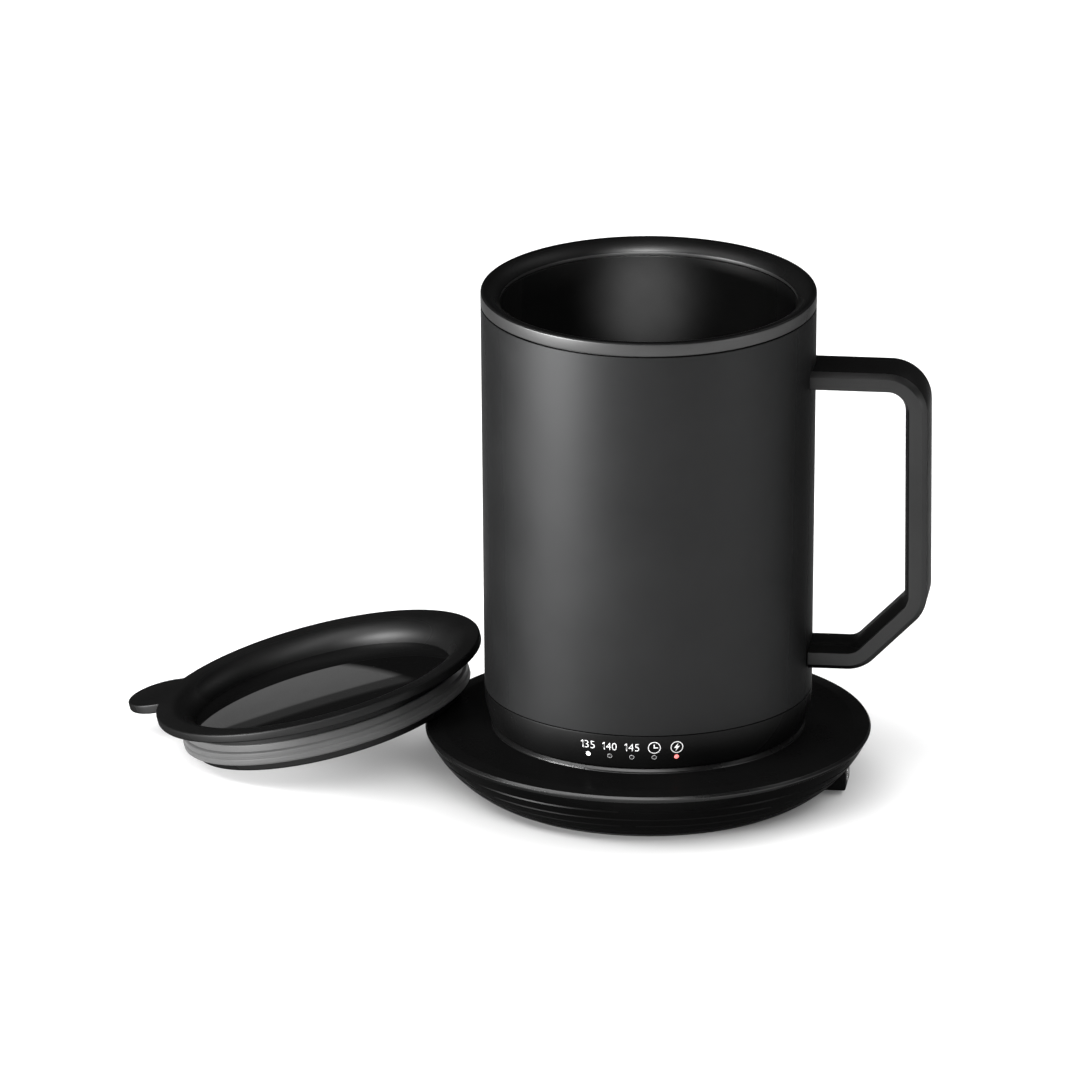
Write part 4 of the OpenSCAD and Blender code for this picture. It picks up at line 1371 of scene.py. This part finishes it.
@dataclass
class Lid:
    """The sealed lid, leaning on the coaster's rim."""

    rim: Span = field(default_factory=lambda: Span.of("rim_ring"))
    coaster: Span = field(default_factory=lambda: Span.of("coaster_top"))
    flange_t: float = 2.3 * MM
    height: float = 12.8 * MM
    flat: float = 3.5 * MM
    dish_depth: float = 5.5 * MM
    dish_draw: float = 5.4 * MM
    crown: float = 0.9 * MM
    skin: float = 1.6 * MM
    window_t: float = 0.2 * MM
    edge: float = 0.5 * MM
    mouth_inset: float = 4.85 * MM
    core_inset: float = 1.9 * MM
    core_wall: float = 1.5 * MM
    plug_inset: float = 2.6 * MM
    plug_wall: float = 1.4 * MM
    plug_round: float = 0.8 * MM
    spigot_inset: float = 1.55 * MM
    spigot_h: float = 1.6 * MM
    tab_r: float = 9.3 * MM
    tab_reach: float = 10.0 * MM
    tab_turn: float = -10.7
    tab_band: float = 1.2 * MM
    neck_inset: float = 1.5 * MM
    seal_h: float = 5.2 * MM
    seal_drop: float = 2.9 * MM
    seal_rib: float = 0.35 * MM
    seal_taper: float = 0.3 * MM
    seal_gap: float = 0.05 * MM
    rib_heights: tuple[float, float] = (1.9 * MM, 1.4 * MM)
    rib_flat: Point = (0.2, 0.8)
    band_inset: float = 0.95 * MM
    band_step: float = 0.15 * MM
    coaster_edge: float = 0.32 * MM
    coaster_ring_h: float = 1.2 * MM
    coaster_drop: float = 0.35 * MM
    lift: float = 0.25 * MM
    lean_share: float = 0.899
    heading: float = -3.3
    shift: float = 8.2 * MM
    steps: int = 384

    @property
    def radius(self) -> float:
        """Outer radius of the flange."""
        return self.rim.radius

    @property
    def seal_r(self) -> float:
        """Outer radius of the seal's widest rib."""
        return self.rim.radius - self.mouth_inset

    @property
    def core_r(self) -> float:
        """Radius of the wall that carries the seal."""
        return self.seal_r - self.core_inset

    @property
    def plug_r(self) -> float:
        """Radius of the lid's underside."""
        return self.seal_r - self.plug_inset

    @property
    def seal_top(self) -> float:
        """Height of the seal's upper edge below the flange's top."""
        return -self.flange_t - self.seal_drop

    @property
    def seal_low(self) -> float:
        """Height of the seal's lower edge below the flange's top."""
        return self.seal_top - self.seal_h

    def pose(self) -> Matrix:
        """Works out how the lid leans on the table and on the coaster's rim.

        Returns:
            The matrix from the lid's own frame to the part's.
        """
        rest_r = self.coaster.radius - self.coaster_edge
        rest_z = self.coaster.high - self.coaster_ring_h - self.coaster_drop
        lean = math.asin(rest_z / (2 * self.plug_r * self.lean_share))
        bottom = self.plug_r * math.sin(lean) + self.lift
        along = ((bottom - rest_z) * math.cos(lean) - self.lift) / math.sin(lean) - rest_r
        return (Matrix.Rotation(math.radians(self.heading), 4, "Z")
                @ Matrix.Translation((along, self.shift, bottom))
                @ Matrix.Rotation(-lean, 4, "Y") @ Matrix.Translation((0, 0, self.height)))

    def _pull_tab(self, piece: Piece) -> None:
        """Draws the flange's edge out into the round pull tab.

        Args:
            piece: The turned lid, in its own frame.
        """
        distance = self.radius + self.tab_reach - self.tab_r
        middle = math.pi + math.radians(self.tab_turn)
        for vertex in piece.data.vertices:
            r = math.hypot(vertex.co.x, vertex.co.y)
            if r < self.radius - self.tab_band or vertex.co.z < -self.flange_t - self.edge:
                continue
            away = math.atan2(vertex.co.y, vertex.co.x) - middle
            across = distance * math.sin(away)
            if abs(across) >= self.tab_r or math.cos(away) < 0:
                continue
            reach = distance * math.cos(away) + math.sqrt(self.tab_r ** 2 - across ** 2)
            if reach > self.radius:
                factor = (r + reach - self.radius) / r
                vertex.co.x *= factor
                vertex.co.y *= factor

    def _seat(self, piece: Piece, slot: str, node: str, finish: Finish | None = None) -> Piece:
        """Leans a piece with the rest of the lid, and hands it over for its CAD node."""
        Bench.place(piece, self.pose())
        return hand_over(piece, Body.LID, slot, node, finish)

    def floor_points(self, drop: float = 0.0) -> list[Corner]:
        """Works out the dish's domed floor, or a level below it.

        Args:
            drop: Distance below the floor.

        Returns:
            The points from the floor's edge to the axis.
        """
        edge_r = self.radius - self.flat - self.dish_draw
        shares = [1 - i / 16 for i in range(17)]
        return [Corner(edge_r * f, -self.dish_depth + self.crown * (1 - f * f) - drop) for f in shares]

    def build_window(self) -> Piece:
        """Turns the polished skin of the dish's floor.

        Returns:
            The skin.
        """
        under = self.floor_points(self.window_t)
        piece = Bench.lathe("lid_window", [*reversed(under), *self.floor_points()], self.steps)
        return self._seat(piece, "lid_gloss", "lid_cover", WINDOW)

    def build_cover(self) -> Piece:
        """Turns the dished cover and draws out its pull tab.

        Returns:
            The cover.
        """
        dish_top = self.radius - self.flat
        core_in = self.core_r - self.core_wall
        neck = self.seal_r - self.neck_inset
        cove = [Corner(dish_top - self.dish_draw * math.sin(t), -self.dish_depth * (1 - math.cos(t)))
                for t in (math.pi / 2 * i / 18 for i in range(19))]
        corners = [
            Corner(0, self.crown - self.dish_depth - self.skin),
            Corner(core_in, -self.dish_depth - self.skin),
            Corner(core_in, self.seal_low),
            Corner(self.core_r, self.seal_low),
            Corner(self.core_r, self.seal_top),
            Corner(neck, self.seal_top),
            Corner(neck, -self.flange_t),
            Corner(self.radius, -self.flange_t, self.edge),
            Corner(self.radius, 0, self.edge),
            *cove,
            *self.floor_points(self.window_t),
        ]
        piece = Bench.turned("lid_dish", rounded(corners, 5), self.steps)
        self._pull_tab(piece)
        Bench.smooth(piece, 40)
        return self._seat(piece, "lid_gloss", "lid_cover")

    def build_base(self) -> Piece:
        """Turns the plug that closes the lid's underside.

        Returns:
            The plug.
        """
        low = -self.height
        floor = low + self.plug_wall
        spigot = self.core_r - self.spigot_inset
        spigot_in = spigot - self.plug_wall
        spigot_top = self.seal_low + self.spigot_h
        corners = [
            Corner(0, low),
            Corner(self.plug_r, low, self.plug_round),
            Corner(self.core_r, self.seal_low),
            Corner(spigot, self.seal_low),
            Corner(spigot, spigot_top),
            Corner(spigot_in, spigot_top),
            Corner(spigot_in, floor),
            Corner(0, floor),
        ]
        piece = Bench.lathe("lid_plug", corners, 192, 5)
        return self._seat(piece, "lid_gloss", "lid_base")

    def build_seal(self) -> Piece:
        """Turns the seal with its two soft ribs under a plain band.

        Returns:
            The seal.
        """
        inner = self.core_r + self.seal_gap
        band = self.seal_r - self.band_inset
        z, r = self.seal_low, self.seal_r
        first, last = self.rib_flat
        corners = [Corner(inner, z), Corner(r - self.seal_rib, z, 0.15 * MM)]
        for height in self.rib_heights:
            corners += [
                Corner(r, z + height * first, 0.25 * MM),
                Corner(r, z + height * last, 0.25 * MM),
                Corner(r - self.seal_rib, z + height, 0.08 * MM),
            ]
            z, r = z + height, r - self.seal_taper
        corners += [
            Corner(band, z + self.band_step, 0.1 * MM),
            Corner(band, self.seal_top, 0.3 * MM),
            Corner(inner, self.seal_top),
        ]
        piece = Bench.lathe("lid_gasket", corners, 192, 3)
        return self._seat(piece, "seal_silicone", "lid_seal")

    def build(self) -> None:
        """Builds the cover, the skin of its floor, the plug and the seal."""
        self.build_cover()
        self.build_window()
        self.build_base()
        self.build_seal()


class InnerWorks:
    """The CAD pieces that stay as they are and only get their finish."""

    def dress(self) -> None:
        """Gives every shown CAD node the finish of its slot."""
        slots = {part["node"]: part["material_slot"] for part in frame["record"]["subparts"]}
        for node, piece in frame["nodes"].items():
            if piece.hide_render:
                continue
            piece.data.materials.clear()
            piece.data.materials.append(FINISHES[slots[node]].material())
            log.info("%s keeps its shape as %s", node, slots[node])


def direction(turn: float, rise: float) -> Vector:
    """Works out the way from the object to a lamp or to the camera.

    Args:
        turn: Degrees about the Z axis, from the front to the right.
        rise: Degrees above the floor.

    Returns:
        The unit vector.
    """
    heading, up = math.radians(turn), math.radians(rise)
    return Vector((math.sin(heading) * math.cos(up), -math.cos(heading) * math.cos(up), math.sin(up)))


@dataclass(frozen=True)
class Softbox:
    """A rectangular lamp that looks at the mug.

    Its turn is in degrees to the right of the camera, its rise in degrees above the floor, its power in
    watts.
    """

    name: str
    turn: float
    rise: float
    reach: float
    width: float
    height: float
    power: float


@dataclass(frozen=True)
class Spot:
    """A narrow lamp that looks at the cup's far wall, placed like a softbox.

    It aims at a share of the mouth's radius behind the axis and at a drop below the rim.
    """

    name: str
    turn: float
    rise: float
    reach: float
    beam_r: float
    power: float
    back_share: float
    drop: float
    soft_r: float


SOFTBOXES = (
    Softbox("key_softbox", turn=-64, rise=2.9, reach=3.2, width=1.7, height=0.42, power=310),
    Softbox("fill_softbox", turn=60, rise=5, reach=1.8, width=0.5, height=0.32, power=5.5),
    Softbox("top_softbox", turn=-34, rise=48, reach=1.0, width=1.8, height=0.3, power=15),
    Softbox("side_softbox", turn=105, rise=46, reach=1.0, width=0.8, height=0.3, power=3),
)
MOUTH_SPOT = Spot("mouth_spot", turn=1, rise=31, reach=1.5, beam_r=18 * MM, power=560,
                  back_share=0.857, drop=13.5 * MM, soft_r=5 * MM)


@dataclass
class Studio:
    """Floor, light and camera.

    The backdrop's tones, its sweep and its panel's edge go by the parts of a ray's direction.
    """

    azimuth: float = 6.0
    elevation: float = 19.3
    distance: float = 8.0
    field_w: float = 270 * MM
    sensor: float = 36.0
    aim: tuple[float, float, float] = (-26.95 * MM, -2.83 * MM, 64.0 * MM)
    lamp_aim_z: float = 70 * MM
    floor_w: float = 8.0
    floor_tone: float = 0.6
    glow_reach: Point = (0.045, 0.105)
    glow_range: Point = (0.05, 0.5)
    backdrop: tuple[Point, ...] = ((0.234, 1.0), (0.238, 0.3), (0.254, 0.3), (0.260, 0.02))
    sweep: Point = (-0.3, 0.3)
    sweep_range: Point = (0.1, 1.0)
    panel_side: Point = (-0.232, -0.229)
    panel_rise: Point = (0.14, 0.16)

    def build_floor(self) -> None:
        """Adds a pale floor that keeps the object's shadow, with painted light of its own that grows further
        out and leaves painted shade round the object.
        """
        Bench.clear()
        bpy.ops.mesh.primitive_plane_add(size=self.floor_w)
        floor = Bench.named("studio_floor")
        material = bpy.data.materials.new("studio_floor_paint")
        tree = Tree.of(material)
        tree.nodes.clear()
        places = tree.add("TexCoord")
        away = tree.add("VectorMath", {0: places.outputs["Object"]}, operation="LENGTH")
        # Painted light: the floor's own glow, seen by camera, glossy and transmission rays, is weak near the
        # object and strong further out.
        glow = tree.spread(away.outputs["Value"], self.glow_reach, self.glow_range, "SMOOTHSTEP")
        rays = tree.add("LightPath").outputs
        straight = tree.calculate("MAXIMUM", rays["Is Camera Ray"], rays["Is Glossy Ray"])
        seen = tree.calculate("MAXIMUM", straight, rays["Is Transmission Ray"])
        dark = tree.add("Emission", {"Strength": 0.0})
        white = tree.add("Emission", {"Strength": glow})
        shown = tree.add("MixShader", {
            "Fac": seen, 1: dark.outputs["Emission"], 2: white.outputs["Emission"],
        })
        paint = tree.add("BsdfDiffuse", {"Color": (*grey(self.floor_tone), 1)})
        total = tree.add("AddShader", {0: paint.outputs["BSDF"], 1: shown.outputs["Shader"]})
        tree.add("OutputMaterial", {"Surface": total.outputs["Shader"]})
        floor.data.materials.append(material)

    def _backdrop(self, tree: Tree, height: bpy.types.NodeSocket) -> bpy.types.NodeSocket:
        """Adds the backdrop's tones, from white below to nearly black overhead.

        Args:
            tree: The world's tree.
            height: The socket with the upward part of a ray's direction.

        Returns:
            The socket with the tone.
        """
        ramp = tree.add("ValToRGB", {"Fac": height})
        tones = ramp.color_ramp.elements
        low, *between, high = self.backdrop
        for tone, (place, level) in zip(tones, (low, high)):
            tone.position = place
            tone.color = (level, level, level, 1)
        for place, level in between:
            tones.new(place).color = (level, level, level, 1)
        return ramp.outputs["Color"]

    def build_world(self) -> None:
        """Sets a white backdrop that glossy surfaces see fade into a dark studio overhead."""
        world = bpy.data.worlds.new("studio_world")
        bpy.context.scene.world = world
        tree = Tree.of(world)
        tree.nodes.clear()
        places = tree.add("TexCoord")
        way = tree.add("SeparateXYZ", {"Vector": places.outputs["Generated"]}).outputs
        sweep = tree.spread(way["Y"], self.sweep, self.sweep_range, "SMOOTHSTEP")
        side = tree.spread(way["X"], self.panel_side)
        upper = tree.spread(way["Z"], self.panel_rise)
        panel = tree.calculate("SUBTRACT", 1.0, tree.calculate("MULTIPLY", side, upper))
        studio = tree.add("Background", {
            "Color": self._backdrop(tree, way["Z"]),
            "Strength": tree.calculate("MULTIPLY", sweep, panel),
        }).outputs["Background"]
        white = tree.add("Background", {"Color": WHITE, "Strength": 1.0}).outputs["Background"]
        rays = tree.add("LightPath").outputs
        glossy = tree.add("MixShader", {"Fac": rays["Is Glossy Ray"], 1: white, 2: studio})
        clear = tree.calculate("MAXIMUM", rays["Is Camera Ray"], rays["Is Transmission Ray"])
        shown = tree.add("MixShader", {"Fac": clear, 1: glossy.outputs["Shader"], 2: white})
        tree.add("OutputWorld", {"Surface": shown.outputs["Shader"]})

    @staticmethod
    def _hang(kind: str, lamp: Softbox | Spot, target: Vector, away: Vector) -> bpy.types.Object:
        """Hangs a lamp that looks at a point.

        Args:
            kind: Blender's type of lamp.
            lamp: The lamp's settings.
            target: The point that it looks at.
            away: Direction from the point to the lamp.

        Returns:
            The lamp's object.
        """
        Bench.clear()
        bpy.ops.object.light_add(type=kind, location=target + away * lamp.reach)
        hung = bpy.context.object
        hung.name = lamp.name
        hung.rotation_euler = (-away).to_track_quat("-Z", "Y").to_euler()
        hung.data.energy = lamp.power
        return hung

    def build_softbox(self, lamp: Softbox) -> None:
        """Hangs one softbox that looks at the mug.

        Args:
            lamp: The softbox.
        """
        away = direction(self.azimuth + lamp.turn, lamp.rise)
        light = self._hang("AREA", lamp, Vector((0, 0, self.lamp_aim_z)), away).data
        light.shape = "RECTANGLE"
        light.size = lamp.width
        light.size_y = lamp.height

    def build_spot(self, lamp: Spot) -> None:
        """Hangs the narrow spot that looks into the cup.

        Args:
            lamp: The spot.
        """
        rim = Span.of("rim_ring")
        turn = self.azimuth + lamp.turn
        target = Vector((0, 0, rim.high - lamp.drop)) - direction(turn, 0) * (lamp.back_share * rim.radius)
        light = self._hang("SPOT", lamp, target, direction(turn, lamp.rise)).data
        light.spot_size = 2 * math.atan(lamp.beam_r / lamp.reach)
        light.spot_blend = 1.0
        light.shadow_soft_size = lamp.soft_r

    def build_camera(self) -> None:
        """Sets the camera at the photograph's viewing angle."""
        back = direction(self.azimuth, self.elevation)
        Bench.clear()
        bpy.ops.object.camera_add(location=Vector(self.aim) + back * self.distance)
        camera = bpy.context.object
        camera.name = "studio_camera"
        camera.rotation_euler = (-back).to_track_quat("-Z", "Y").to_euler()
        camera.data.sensor_width = self.sensor
        camera.data.lens = self.sensor * self.distance / self.field_w
        camera.data.clip_end = 4 * self.distance
        bpy.context.scene.camera = camera

    def build(self) -> None:
        """Builds the floor, the light and the camera."""
        bpy.context.scene.view_settings.view_transform = "Standard"
        self.build_floor()
        self.build_world()
        for lamp in SOFTBOXES:
            self.build_softbox(lamp)
        self.build_spot(MOUTH_SPOT)
        self.build_camera()


def main() -> None:
    """Builds and dresses every sub-assembly, then the studio."""
    logging.basicConfig(level=logging.INFO, format="%(name)s: %(message)s")
    MugBody().build()
    MugBase().build()
    PowerButton().build()
    MugHandle().build()
    Coaster().build()
    Lid().build()
    InnerWorks().dress()
    Studio().build()
    Bench.clear()


if __name__ == "__main__":
    main()
